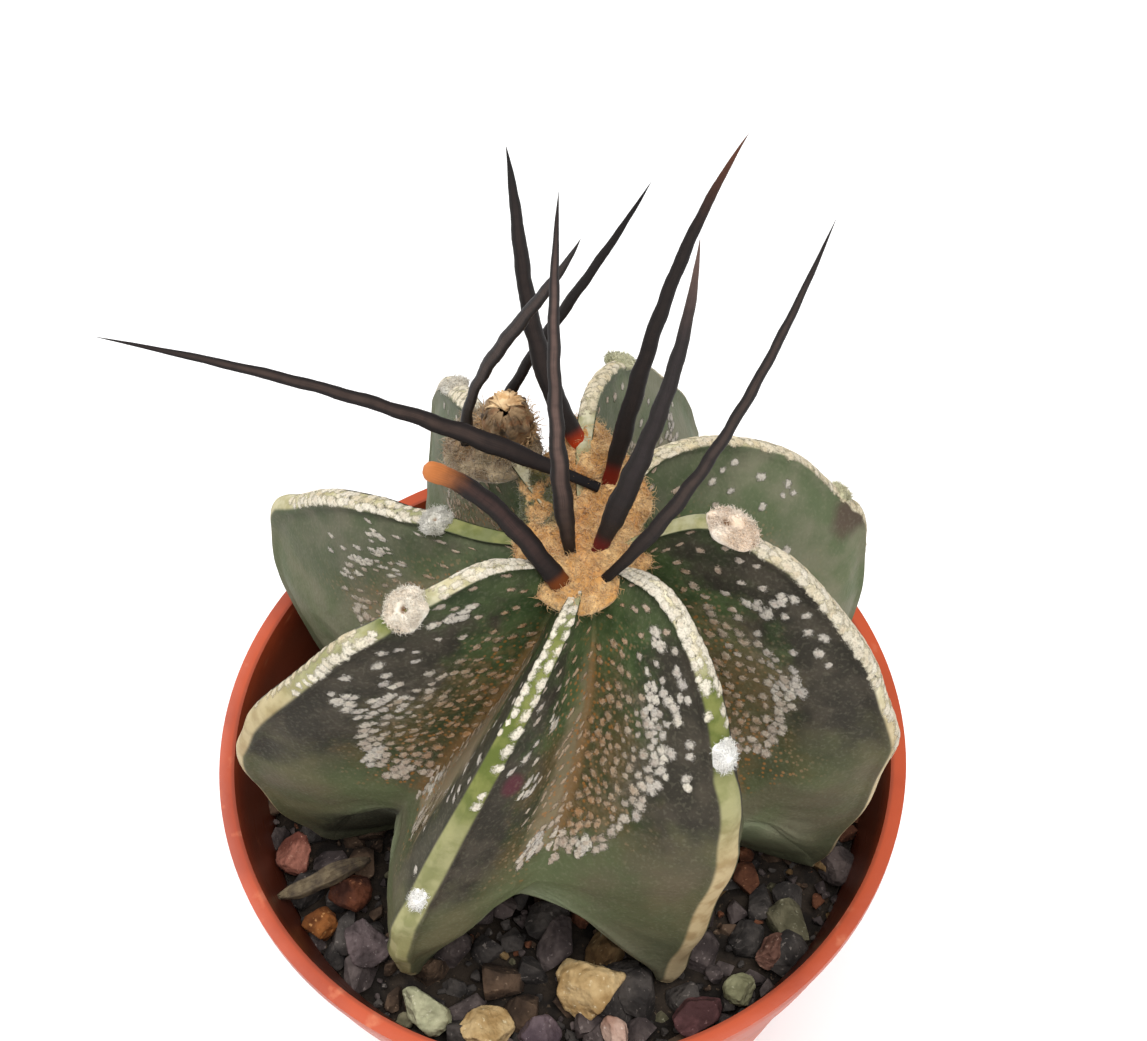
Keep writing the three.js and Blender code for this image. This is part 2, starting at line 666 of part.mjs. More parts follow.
// The grit of the top layer, spread evenly by the golden angle with its sizes drawn from seeds.
// A piece that would reach into what it must keep clear of lies deeper in the bed.
function gritSolid(keepClear) {
  const { count, inner, outer, small, large, rise, settle, stray, chips } = GRIT;
  const golden = Math.PI * (3 - Math.sqrt(5));
  const pieces = [];
  for (let i = 0; i < count; i += 1) {
    const radius = Math.sqrt(lerp(inner ** 2, outer ** 2, (i + 0.5) / count));
    const angle = i * golden + stray * (jitter(i) - 0.5);
    const half = lerp(small, large, jitter(i + 200));
    const size = [half, half * lerp(0.7, 1, jitter(i + 400)), half * lerp(0.7, 0.95, jitter(i + 600))];
    const pebble = chipped(new THREE.BoxGeometry(1.6, 1.6, 1.6), i + 1, chips);
    pebble.rotateX(jitter(i + 700) * Math.PI).rotateY(jitter(i + 750) * Math.PI);
    pebble.scale(...size).rotateZ(jitter(i + 800) * Math.PI);
    pebble.translate(radius * Math.sin(angle), -radius * Math.cos(angle), rise * half - SOIL_DROP);
    let piece = solid(pebble);
    while (!piece.intersect(keepClear).isEmpty()) piece = piece.translate(0, 0, -settle);
    pieces.push(piece);
  }
  return wasm.Manifold.union(pieces);
}

// The plain hollow that the stem's foot and root stand in: a pit for the root under a wide dish.
function plantHole() {
  const { radius, below, shoulder, dish, sides } = HOLE;
  const bottom = STEM.rootTip - below;
  const profile = [
    [0, bottom],
    [radius / 2, bottom],
    [radius, STEM.rootTip + shoulder],
    ...dish,
    [dish.at(-1)[0], 0],
    [0, 0],
  ];
  return solid(turned(profile, sides));
}

// Assembly

const stemSkin = stemGeometry();
const room = potRoom();
const stemRoom = swollen(stemSkin, GAP + 0.05);

let stem = solid(stemSkin);
for (const areole of AREOLES) stem = stem.add(areoleSolid(areole));
for (const pad of CROWN) stem = stem.subtract(swollen(woolGeometry(pad), GAP));
for (const spine of SPINES) stem = stem.subtract(spineSolid(spine, GAP));
stem = largest(stem.subtract(flowerSolid(GAP)));

let crown = wasm.Manifold.union(CROWN.map((pad) => solid(woolGeometry(pad))));
crown = largest(crown.subtract(flowerSolid(GAP)));
for (const spine of SPINES) crown = crown.add(spineSolid(spine));

const stones = Object.entries(STONES).map(([name, stone], i) => {
  const geometry = stoneGeometry(stone, i + 1);
  const made = largest(solid(geometry).intersect(room).subtract(stemRoom));
  return { name, made, hollow: swollen(geometry, GAP), colour: stone.colour };
});
const bark = { made: solid(barkGeometry()), hollow: swollen(barkGeometry(), GAP) };

const bed = solid(
  turned(
    [
      [0, POT.floor - POT.height],
      [POT.rimRadius, POT.floor - POT.height],
      [POT.rimRadius, -SOIL_DROP],
      [0, -SOIL_DROP],
    ],
    POT.sides,
  ),
);
let mix = bed.subtract(plantHole()).add(gritSolid(stemRoom)).intersect(room);
for (const { hollow } of [...stones, bark]) mix = mix.subtract(hollow);
mix = largest(mix);

const plant = new THREE.Group();
plant.add(mesh("cactus_stem", stem, COLOURS.stem, 0.75));
plant.add(mesh("crown_wool_and_spines", crown, COLOURS.crown, 0.95));
plant.add(mesh("dried_flower", largest(flowerSolid()), COLOURS.flower, 0.95));

const bedding = new THREE.Group();
bedding.add(mesh("potting_mix", mix, COLOURS.mix, 1));
for (const { name, made, colour } of stones) bedding.add(mesh(name, made, colour, 0.9));
bedding.add(mesh("bark_chip", bark.made, COLOURS.bark, 0.95));

const filling = new THREE.Group();
filling.position.z = POT.height;
filling.add(plant, bedding);

const object = new THREE.Group();
object.add(mesh("pot", potSolid(), COLOURS.pot, 0.5), filling);

export default object;
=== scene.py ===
import math
from collections import namedtuple

import bpy
import numpy as np
from mathutils import Matrix, Vector


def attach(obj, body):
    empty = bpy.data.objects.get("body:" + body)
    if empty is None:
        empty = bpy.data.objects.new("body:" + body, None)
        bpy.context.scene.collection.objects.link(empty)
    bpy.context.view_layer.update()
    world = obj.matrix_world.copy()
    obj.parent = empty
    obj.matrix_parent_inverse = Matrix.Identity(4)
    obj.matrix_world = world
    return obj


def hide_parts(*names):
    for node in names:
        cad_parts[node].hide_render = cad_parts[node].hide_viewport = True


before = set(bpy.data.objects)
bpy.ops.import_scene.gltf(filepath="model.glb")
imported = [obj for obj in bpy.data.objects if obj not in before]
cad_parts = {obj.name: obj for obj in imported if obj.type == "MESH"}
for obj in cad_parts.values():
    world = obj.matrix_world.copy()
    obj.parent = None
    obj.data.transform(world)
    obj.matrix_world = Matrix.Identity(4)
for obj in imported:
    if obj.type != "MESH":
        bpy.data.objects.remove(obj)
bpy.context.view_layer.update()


# The pot
# A round nursery pot of thin moulded plastic, terracotta coloured, in one piece: a flat lip, a
# plain flared collar, a tapered wall, and a floor that arches up between two standing faces.

MM = 0.001
RIM = 48 * MM
POT_PROFILE = [  # radius and height in millimetres, from the middle of the underside round to the inside
    (5.0, 0.0), (5.8, 0.8), (14.4, 0.8), (15.2, 0.0), (18.7, 0.0), (19.5, 0.8),
    (21.15, 10.8), (22.8, 20.8), (24.4, 30.8), (25.4, 40.5), (26.5, 41.3),
    (26.8, 44.2), (27.1, 46.6), (27.5, 47.0), (27.5, 48.0), (26.3, 48.0), (26.1, 46.8),
    (25.4, 43.8), (24.6, 41.0), (23.6, 31.0), (21.9, 20.8), (20.2, 10.8), (19.06, 2.8),
    (18.0, 1.8), (12.0, 1.8), (5.0, 1.8),
]
DRAIN_HOLES = 6
DRAIN_RADIUS = 1.9 * MM
DRAIN_CIRCLE = 10 * MM
PUNCH_DEPTH = 8 * MM
POT_SIDES = 168
POT_EDGE = 0.22 * MM
WALL_TAPER = 0.165  # how much the wall widens with each millimetre of its height
INNER_FACE = 18.6 * MM  # the inner face's radius, if that taper went on down to the ground


def only(piece):
    """Selects one piece alone and makes it the active one."""
    bpy.ops.object.select_all(action="DESELECT")
    piece.select_set(True)
    bpy.context.view_layer.objects.active = piece
    return piece


def fresh(name):
    """Names the primitive that was just added."""
    piece = bpy.context.active_object
    piece.name = piece.data.name = name
    return piece


def apply_modifier(piece, kind, **settings):
    only(piece)
    modifier = piece.modifiers.new(kind.title(), kind)
    for name, value in settings.items():
        setattr(modifier, name, value)
    bpy.ops.object.modifier_apply(modifier=modifier.name)


def bevelled(piece, width, segments, degrees):
    """Rounds the edges that turn by more than an angle."""
    settings = {"width": width, "segments": segments, "angle_limit": math.radians(degrees)}
    apply_modifier(piece, "BEVEL", limit_method="ANGLE", **settings)


def smoothed(piece, degrees=None):
    """Shades a piece smooth, all over or only across edges that turn by less than an angle."""
    only(piece)
    if degrees is None:
        bpy.ops.object.shade_smooth()
    else:
        bpy.ops.object.shade_smooth_by_angle(angle=math.radians(degrees))


def lathed(name, profile, sides, base):
    """A round piece: a disc whose edge is extruded along radii and heights, then closed."""
    radius, height = profile[0]
    bpy.ops.mesh.primitive_circle_add(
        vertices=sides, radius=radius * MM, fill_type="NGON", location=(0, 0, base + height * MM)
    )
    piece = fresh(name)
    bpy.ops.object.mode_set(mode="EDIT")
    for next_radius, next_height in profile[1:]:
        bpy.ops.mesh.select_mode(type="EDGE")
        bpy.ops.mesh.region_to_loop()
        bpy.ops.mesh.extrude_edges_move()
        grow = next_radius / radius
        bpy.ops.transform.resize(value=(grow, grow, 1), center_override=(0, 0, 0))
        bpy.ops.transform.translate(value=(0, 0, (next_height - height) * MM))
        radius, height = next_radius, next_height
    bpy.ops.mesh.edge_face_add()
    bpy.ops.mesh.select_all(action="SELECT")
    bpy.ops.mesh.normals_make_consistent(inside=False)
    bpy.ops.object.mode_set(mode="OBJECT")
    return piece


def seat(piece, finish, slot, *nodes):
    """Gives a piece its finish, and says what it rides on and which nodes it stands for."""
    piece.data.materials.clear()
    piece.data.materials.append(finish)
    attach(piece, "root")
    if nodes:
        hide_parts(*nodes)


def tone(red, green, blue):
    """A colour as it is seen, 0 to 255, as the linear one that a shader takes."""
    shares = [part / 255 for part in (red, green, blue)]
    return tuple(s / 12.92 if s < 0.04 else ((s + 0.055) / 1.055) ** 2.4 for s in shares) + (1.0,)


def feed(node, inputs):
    """Feeds a node's inputs from plain values or from other sockets."""
    for name, value in inputs.items():
        if isinstance(value, bpy.types.NodeSocket):
            node.id_data.links.new(value, node.inputs[name])
        else:
            node.inputs[name].default_value = value


def placed(tree, kind, inputs=None, **settings):
    """Places a node, sets its properties and feeds its inputs."""
    node = tree.nodes.new(kind)
    for name, value in settings.items():
        setattr(node, name, value)
    feed(node, inputs or {})
    return node


def fed(kind, inputs, **settings):
    """Places a node in the same tree as the sockets that feed it."""
    tree = next(value.id_data for value in inputs.values() if isinstance(value, bpy.types.NodeSocket))
    return placed(tree, kind, inputs, **settings)


def mixed(share, first, second):
    """One colour over another, by a share from 0 to 1. A plain colour is given as it is seen."""
    first, second = (tone(*part) if isinstance(part, tuple) else part for part in (first, second))
    return fed("ShaderNodeMix", {0: share, 6: first, 7: second}, data_type="RGBA").outputs[2]


def reckoned(operation):
    """A step of arithmetic on two values, of which one at least is a socket."""
    return lambda first, second: fed("ShaderNodeMath", {0: first, 1: second}, operation=operation).outputs[0]


plus, minus, times, larger = map(reckoned, ("ADD", "SUBTRACT", "MULTIPLY", "MAXIMUM"))


def spread(value, low, high, bottom=0.0, top=1.0):
    """A value's way from low to high, made a smooth one from bottom to top."""
    inputs = {"Value": value, "From Min": low, "From Max": high, "To Min": bottom, "To Max": top}
    return fed("ShaderNodeMapRange", inputs, interpolation_type="SMOOTHSTEP").outputs[0]


def noise(place, scale, detail=2.0, roughness=0.5):
    inputs = {"Vector": place, "Scale": scale, "Detail": detail, "Roughness": roughness}
    return fed("ShaderNodeTexNoise", inputs).outputs["Fac"]


def bumped(shader, height, strength, distance):
    inputs = {"Height": height, "Strength": strength, "Distance": distance}
    feed(shader, {"Normal": fed("ShaderNodeBump", inputs).outputs[0]})


def new_finish(name, roughness, specular=0.5):
    """A new material, its shader, and the place on the piece that its patterns follow."""
    material = bpy.data.materials.new(name)
    material.use_nodes = True
    tree = material.node_tree
    shader = tree.nodes["Principled BSDF"]
    feed(shader, {"Roughness": roughness, "Specular IOR Level": specular})
    return material, shader, placed(tree, "ShaderNodeTexCoord").outputs["Object"]


# Cloudy patches, as on worn plastic, skin and stone: a mask that is 0 below Low and 1 above High.
PATCHES = bpy.data.node_groups.new("cloudy_patches", "ShaderNodeTree")
PATCHES.interface.new_socket(name="Vector", in_out="INPUT", socket_type="NodeSocketVector")
for label, value in (("Scale", 100.0), ("Low", 0.4), ("High", 0.6)):
    socket = PATCHES.interface.new_socket(name=label, in_out="INPUT", socket_type="NodeSocketFloat")
    socket.default_value = value
PATCHES.interface.new_socket(name="Mask", in_out="OUTPUT", socket_type="NodeSocketFloat")
given = PATCHES.nodes.new("NodeGroupInput").outputs
clouds = noise(given["Vector"], given["Scale"], 5.0)
feed(PATCHES.nodes.new("NodeGroupOutput"), {"Mask": spread(clouds, given["Low"], given["High"])})


def patches(place, scale, low, high):
    inputs = {"Vector": place, "Scale": scale, "Low": low, "High": high}
    return placed(place.id_data, "ShaderNodeGroup", inputs, node_tree=PATCHES).outputs["Mask"]


def mottled(place, scale, low, high, first, second):
    """Two colours in cloudy patches."""
    return mixed(patches(place, scale, low, high), first, second)


pot = lathed("nursery_pot", POT_PROFILE, POT_SIDES, 0)
for hole in range(DRAIN_HOLES):
    angle = hole * 2 * math.pi / DRAIN_HOLES
    middle = (DRAIN_CIRCLE * math.cos(angle), DRAIN_CIRCLE * math.sin(angle), 0)
    bpy.ops.mesh.primitive_cylinder_add(vertices=32, radius=DRAIN_RADIUS, depth=PUNCH_DEPTH, location=middle)
    punch = fresh("punch")
    apply_modifier(pot, "BOOLEAN", object=punch, operation="DIFFERENCE", solver="EXACT")
    bpy.data.objects.remove(punch)
bevelled(pot, POT_EDGE, 3, 28)
smoothed(pot, 35)

plastic, shader, place = new_finish("terracotta_plastic", 0.46, 0.35)
base = mottled(place, 70, 0.42, 0.62, (184, 76, 40), (160, 62, 32))
stretched = fed("ShaderNodeMapping", {"Vector": place, "Scale": (1, 1, 5)}).outputs[0]
scuffs = patches(stretched, 420, 0.6, 0.72)
base = mixed(scuffs, base, (198, 110, 76))
# Painted shade on the inside wall, darkest further down and least just under the lip
height = fed("ShaderNodeSeparateXYZ", {"Vector": place}).outputs["Z"]
flat = fed("ShaderNodeVectorMath", {0: place, 1: (1, 1, 0)}, operation="MULTIPLY").outputs[0]
radius = fed("ShaderNodeVectorMath", {0: flat}, operation="LENGTH").outputs["Value"]
within = spread(minus(radius, times(height, WALL_TAPER)), INNER_FACE + 0.15 * MM, INNER_FACE - 0.15 * MM)
painted_shade = times(within, spread(height, RIM, RIM - 3 * MM, 0.45, 0.9))
base = mixed(painted_shade, base, (84, 40, 26))
feed(shader, {"Base Color": base, "Roughness": spread(scuffs, 0, 1, 0.4, 0.62)})
bumped(shader, noise(place, 900, 3.0), 0.12, 0.2 * MM)
seat(pot, plastic, "pot_plastic", "pot")


# The potting mix
# Damp dark mix that fills the pot from its floor to 8 mm below the rim, with a hole in it for the
# root. It shows only between the grains of grit, and through the drain holes.

MIX_PROFILE = [  # radius and height over the rim, in millimetres: up the side and down the root's hole
    (17.5, -45.7), (18.8, -44.9), (19.9, -37.0), (23.2, -17.0), (24.3, -7.4), (24.6, -8.9),
    (22.6, -8.3), (20.4, -8.4), (18.2, -8.3), (15.6, -8.5), (12.8, -9.2), (9.0, -11.0),
    (6.0, -13.1), (5.2, -19.0), (3.0, -25.2),
]
MIX_SIDES = 64
CRUMB_SIZE = 1.6 * MM
CRUMB_DEPTH = 0.9 * MM


def cloud_texture(name, scale, depth):
    texture = bpy.data.textures.new(name, "CLOUDS")
    texture.noise_scale = scale
    texture.noise_depth = depth
    return texture


def roughened(piece, texture, depth, level):
    """Pushes a piece's skin in and out by a cloudy texture. The level is the shade that stays put."""
    settings = {"texture": texture, "strength": depth, "mid_level": level}
    apply_modifier(piece, "DISPLACE", texture_coords="LOCAL", **settings)
    smoothed(piece)


mix = lathed("potting_mix_bed", MIX_PROFILE, MIX_SIDES, RIM)
apply_modifier(mix, "SUBSURF", levels=2, render_levels=2)
roughened(mix, cloud_texture("crumbs", CRUMB_SIZE, 3), CRUMB_DEPTH, 0.6)
bpy.ops.object.transform_apply(location=True, rotation=True, scale=True)


def cells(place, scale):
    """How far each place is from the middle of its cell, as among grains or pores."""
    return fed("ShaderNodeTexVoronoi", {"Vector": place, "Scale": scale}).outputs["Distance"]


def soil_finish(name, dark, light, speck, roughness=0.95):
    """A crumbly or stony finish: two cloudy colours, with specks of a third, painted shade in its pores and
    a grainy bump.
    """
    material, shader, place = new_finish(name, roughness, 0.3)
    base = mottled(place, 450, 0.38, 0.62, dark, light)
    flecked = mixed(patches(place, 2600, 0.62, 0.7), base, speck)
    pores = cells(place, 1700)
    # Painted shade: the colour darkens in the pores, where the bump sinks in
    feed(shader, {"Base Color": mixed(spread(pores, 0.0, 0.35, 0.45, 0.0), flecked, dark)})
    bumped(shader, plus(noise(place, 2400, 6.0), pores), 0.55, 0.25 * MM)
    return material


damp_mix = soil_finish("damp_mix", (32, 27, 23), (54, 45, 37), (86, 72, 58))
seat(mix, damp_mix, "potting_mix", "potting_mix")


# The cactus
# A ball cactus with eight tall thin ribs that lean to one side as they climb to the crown. It is
# one grown body: smooth grey-green skin, a paler cord along each crest, and a short root.

Rib = namedtuple("Rib", "azimuth turn swing reach shoulder waist tuck lean")
RIBS = [  # angles in degrees, lengths in millimetres over the rim plane; the front is azimuth 0
    Rib(-35, 26, -4, 23.1, 27.8, 6.8, 20.8, -8),
    Rib(30, 18, -7, 19.9, 30.4, 14.8, 19.4, 0),
    Rib(67, 18, 0, 24.2, 32.6, 15.7, 21.7, 0),
    Rib(112, 44, -8, 24.5, 29.2, 15.4, 21.6, 0),
    Rib(156, 32, 0, 26.2, 33.2, 10.4, 20.0, 0),
    Rib(202, 19, 7, 27.0, 29.3, 15.0, 20.4, 0),
    Rib(236, 12, 7, 29.2, 24.6, 11.3, 18.4, 0),
    Rib(283, 23, -1, 26.0, 31.6, 12.9, 20.0, 2),
]
AXIS_FOOT = (0.2, -0.3)
AXIS_TOP = (2.6, -0.2)
AXIS_HEIGHTS = (-7.5, 28.0)
CROWN = 26.3
CROWN_DIMPLE = 0.3
FOOT = -7.5
NECK_RADIUS = 5.5
NECK = -12.5
ROOT_TIP = -24.0
ROOT_POINT = 0.5
FURROW_AT_CROWN = (2.2, 26.0)
FURROW_AT_WAIST = (15.8, 8.4)
FURROW_AT_FOOT = (16.2, 6.0)
ARCH = 2.2
CREST_HALF_WIDTH = 0.56
CORD_START = 0.955
PADS = [  # felt pads on the crests: rib, level, half sizes across, along and out, in millimetres
    (0, 0.735, 0.6, 1.0, 0.5),
    (1, 0.54, 0.9, 1.25, 0.6),
    (2, 0.17, 1.4, 1.85, 0.85),
    (3, 0.7, 0.8, 0.9, 0.5),
    (4, 0.32, 1.1, 1.1, 0.6),
    (5, 0.46, 1.1, 1.1, 0.6),
    (6, 0.17, 1.2, 1.2, 0.6),
    (7, 0.25, 1.45, 1.6, 0.85),
]


def way(low, high, share):
    return low + (high - low) * share


def eased(value, low, high):
    share = np.clip((value - low) / (high - low), 0, 1)
    return share * share * (3 - 2 * share)


def over_rim(points):
    """Points given in millimetres over the rim plane, in metres over the ground."""
    return points * MM + [0, 0, RIM]


def plant_point(azimuth, radius, height):
    """A point about the leaning axis, in metres, from an angle and millimetres over the rim plane."""
    up = np.clip((height - AXIS_HEIGHTS[0]) / (AXIS_HEIGHTS[1] - AXIS_HEIGHTS[0]), 0, 1.2)
    angle = np.radians(azimuth)
    x = way(AXIS_FOOT[0], AXIS_TOP[0], up) + radius * np.sin(angle)
    y = way(AXIS_FOOT[1], AXIS_TOP[1], up) - radius * np.cos(angle)
    return over_rim(np.stack([x, y, height + 0 * angle], -1))


def root_point(azimuth, level):
    down = np.clip(level - 3, 0, 1)
    return plant_point(azimuth, NECK_RADIUS * (1 - 0.8 * down**1.4), way(NECK, ROOT_TIP, down))


def by_level(level, crown_to_waist, waist_to_foot, foot_to_neck, neck_to_tip):
    """Picks, at each level, the stretch that it lies on."""
    level = level[..., None]
    below = np.where(level <= 2, waist_to_foot, np.where(level <= 3, foot_to_neck, neck_to_tip))
    return np.where(level <= 1, crown_to_waist, below)


def crest_curve(rib, level):
    a = np.clip(level, 0, 1) * math.pi / 2
    radius = rib.reach * np.sin(a) ** 0.7
    fall = way(rib.waist, rib.shoulder, np.clip(np.cos(a), 0, 1) ** 1.93)
    height = way(CROWN, fall, eased(radius, 0, 9))
    upper = plant_point(rib.azimuth + rib.turn * (1 - radius / rib.reach), radius, height)
    b = np.clip(level - 1, 0, 1) * math.pi / 2
    tucked = way(rib.tuck, rib.reach, np.clip(np.cos(b), 0, 1) ** 1.87)
    lower = plant_point(rib.azimuth + rib.swing * np.sin(b), tucked, way(rib.waist, FOOT, np.sin(b)))
    inward = np.clip(level - 2, 0, 1)
    azimuth = rib.azimuth + rib.swing
    under = plant_point(azimuth, way(rib.tuck, NECK_RADIUS, inward), way(FOOT, NECK, inward**3))
    return by_level(level, upper, lower, under, root_point(azimuth, level))


def furrow_curve(index, level):
    """The furrow after the rib of that index."""
    rib, after = RIBS[index % 8], RIBS[(index + 1) % 8]
    whole_turn = 360 if index % 8 == 7 else 0
    middle = (rib.azimuth + after.azimuth + whole_turn) / 2 + rib.lean
    turn, swing = (rib.turn + after.turn) / 2, (rib.swing + after.swing) / 2
    a = np.clip(level, 0, 1)
    radius = way(FURROW_AT_CROWN[0], FURROW_AT_WAIST[0], a)
    height = way(FURROW_AT_CROWN[1], FURROW_AT_WAIST[1], a**1.15)
    upper = plant_point(middle + 0.9 * turn * (1 - a), radius, height)
    b = np.clip(level - 1, 0, 1)
    radius = way(FURROW_AT_WAIST[0], FURROW_AT_FOOT[0], b)
    lower = plant_point(middle + swing * b, radius, way(FURROW_AT_WAIST[1], FURROW_AT_FOOT[1], b))
    inward = np.clip(level - 2, 0, 1)
    radius = way(FURROW_AT_FOOT[0], NECK_RADIUS, inward)
    under = plant_point(middle + swing, radius, way(FURROW_AT_FOOT[1], NECK, inward**0.85))
    return by_level(level, upper, lower, under, root_point(middle + swing, level))


def rounded(curve, level):
    """A point of a curve, averaged near the waist with those before and after it."""
    reach = 0.2 * eased(level, 0.3, 0.8) * (1 - eased(level, 1.6, 1.9))
    return (2 * curve(level) + curve(level - reach) + curve(level + reach)) / 4


def crest_point(index, level):
    """The crest, with a soft ripple, and a small notch below each of its pads."""
    rib = RIBS[index % 8]
    point = rounded(lambda at: crest_curve(rib, at), level)
    angle = np.radians(rib.azimuth)
    outward = np.array([math.sin(angle), -math.cos(angle), 0.35])
    ripple = 0.16 * np.sin(17 * level + 2.1 * index) * eased(level, 0.2, 0.5) * (1 - eased(level, 1.8, 2))
    for pad_rib, pad_level, _, along, _ in PADS:
        if pad_rib == index % 8:
            ripple = ripple - 0.3 * along * np.exp(-(((level - pad_level - 0.07) / 0.035) ** 2))
    return point + (ripple * MM)[..., None] * outward


def flank_point(index, side, share, level):
    """A point of a flank: share runs from the furrow to the crest, and level from crown to root."""
    rib = RIBS[index % 8]
    share, level = np.broadcast_arrays(share, level)
    crest = crest_point(index, level)
    furrow = rounded(lambda at: furrow_curve(index if side > 0 else index - 1, at), level)
    winding = rib.turn * np.clip(1 - level, 0, 1) + rib.swing * np.clip(level - 1, 0, 1)
    azimuth = np.radians(rib.azimuth + winding)
    across = side * np.stack([np.cos(azimuth), np.sin(azimuth), 0 * azimuth], -1)
    width = np.linalg.norm(crest - furrow, axis=-1) / MM
    body = eased(level, 0, 0.5) * (1 - eased(level, 2, 2.8))
    bulge = share**2 * (1 - share) * np.minimum(6.5, 0.6 * width) * body
    wave = np.sin(9 * level + 4 * share + 1.9 * index + side) * np.sin(7 * share - 3 * level + index)
    wrinkle = np.sin(46 * level + 5 * np.sin(5 * share + index)) * eased(level, 0.7, 1.2)
    relief = share * (1 - share) * 4 * (0.22 * wave + 0.035 * wrinkle) * body
    cord = np.sqrt(np.clip(1 - ((share - CORD_START) / (1 - CORD_START)) ** 2, 0, 1))
    approach = eased(share, 0.87, CORD_START) - 0.35 * np.exp(-(((share - 0.92) / 0.02) ** 2))
    edge = np.where(share >= CORD_START, cord, approach) * CREST_HALF_WIDTH
    edge = edge * (0.4 + 0.6 * eased(level, 0, 0.1)) * (1 - eased(level, 2.6, 3))
    offset = (bulge + relief + edge) * MM
    point = way(furrow, crest, share[..., None]) + offset[..., None] * across
    point[..., 2] += (furrow - crest)[..., 2] * (share - share**ARCH) * eased(level, 1, 2)
    return point


def corners(piece):
    places = np.empty(len(piece.data.vertices) * 3)
    piece.data.vertices.foreach_get("co", places)
    return places.reshape(-1, 3)


def move_corners(piece, places):
    piece.data.vertices.foreach_set("co", np.ascontiguousarray(places, np.float32).ravel())
    piece.data.update()


def mark(piece, **marks):
    """Notes values at a piece's corners, for its finish to read."""
    for name, values in marks.items():
        attribute = piece.data.attributes.new(name, "FLOAT", "POINT")
        attribute.data.foreach_set("value", values.astype(np.float32))


SHARES = [
    0.05, 0.11, 0.18, 0.26, 0.34, 0.42, 0.5, 0.58, 0.66, 0.74, 0.81, 0.87, 0.92, 0.955, 0.977, 0.992, 0.998,
]
LEVELS = np.concatenate([
    0.012 + 0.988 * np.linspace(0, 1, 84) ** 1.1,
    np.linspace(1, 2, 56)[1:],
    np.linspace(2, 3, 19)[1:],
    np.linspace(3, 4, 9)[1:],
])

# From crest to crest: the crest, its flank down to the furrow, the furrow, and the next rib's flank.
columns = []
for index in range(8):
    columns += [(index, 1, share) for share in (1.0, *reversed(SHARES), 0.0)]
    columns += [(index + 1, -1, share) for share in SHARES]
grid = np.stack([flank_point(*column, LEVELS) for column in columns], 1)

bpy.ops.mesh.primitive_uv_sphere_add(segments=len(columns), ring_count=len(LEVELS) + 1, radius=1)
stem = fresh("ribbed_stem")
ball = corners(stem)
polar = np.arccos(np.clip(ball[:, 2], -1, 1)) / math.pi
row = np.rint(polar * (len(LEVELS) + 1)).astype(int) - 1
around = np.arctan2(ball[:, 1], ball[:, 0]) / (2 * math.pi)
column = np.rint(around * len(columns)).astype(int) % len(columns)
inside = np.clip(row, 0, len(LEVELS) - 1)
skin = grid[inside, column]
skin[row < 0] = plant_point(np.array(0.0), 0.0, CROWN - CROWN_DIMPLE)
skin[row >= len(LEVELS)] = plant_point(np.array(0.0), 0.0, ROOT_TIP - ROOT_POINT)
move_corners(stem, skin)
smoothed(stem)

# Flanks by rib and side. Where the felt ends and how much sooner it ends towards the crest, how wide
# the felted strip is, how pale it is by the furrow, how much painted hazy light pales the skin, and
# how much painted shade darkens its foot by the soil.
Flank = namedtuple("Flank", "end slope width pale haze stain", defaults=(0.95, 0.3, 1.0, 0.4, 0.0, 0.0))
FLANKS = {
    (0, -1): Flank(0.93, 0.2, 0.7, 1.0, 0.1), (0, 1): Flank(0.88, 0.48, 0.34, 0.8, 0.0),
    (1, -1): Flank(0.95, 0.4, 1.0, 0.1, 0.0), (1, 1): Flank(0.95, 0.3, 1.0, 0.2, 0.0),
    (2, -1): Flank(0.85, 0.33, 0.95, 0.35, 0.0), (2, 1): Flank(0.9, 0.3, 1.0, 0.4, 0.3),
    (3, -1): Flank(0.8, 0.3, 0.4, 0.4, 0.8), (3, 1): Flank(0.9, 0.3, 1.0, 0.4, 0.5),
    (4, -1): Flank(0.9, 0.3, 1.0, 0.7, 0.8), (5, 1): Flank(0.9, 0.3, 0.8, 0.4, 0.7),
    (6, 1): Flank(0.9, 0.3, 0.5, 0.5, 0.55), (7, -1): Flank(0.9, 0.3, 0.9, 0.4, 0.3, 0.6),
    (7, 1): Flank(0.88, 0.33, 0.95, 0.0, 0.0, 0.85),
}


def clumps(places):
    """A smooth value from about -1 to 1 that waxes and wanes every 2 to 3 mm over the skin."""
    x, y, z = np.moveaxis(places / MM, -1, 0)
    first = np.sin(1.9 * x + 1.3 * z + 0.4) * np.sin(2.3 * y - 1.1 * z + 1.7)
    return first + 0.7 * np.sin(3.1 * z - 1.7 * x) * np.sin(2.7 * x + 2.9 * y + 0.9)


def crowding(flank, share, level, uneven):
    """How thickly the skin is felted there, from 0 to 1: most so by the furrow."""
    reach = (0.26 + 0.44 * eased(level, 0.18, 0.62)) * flank.width
    return eased(share - reach - 0.07 * uneven, 0.1, -0.04)


def zone_end(flank, share, uneven):
    """The level where the felt stops, above the soil."""
    return flank.end - flank.slope * eased(share, 0.2, 0.75) + 0.03 * uneven


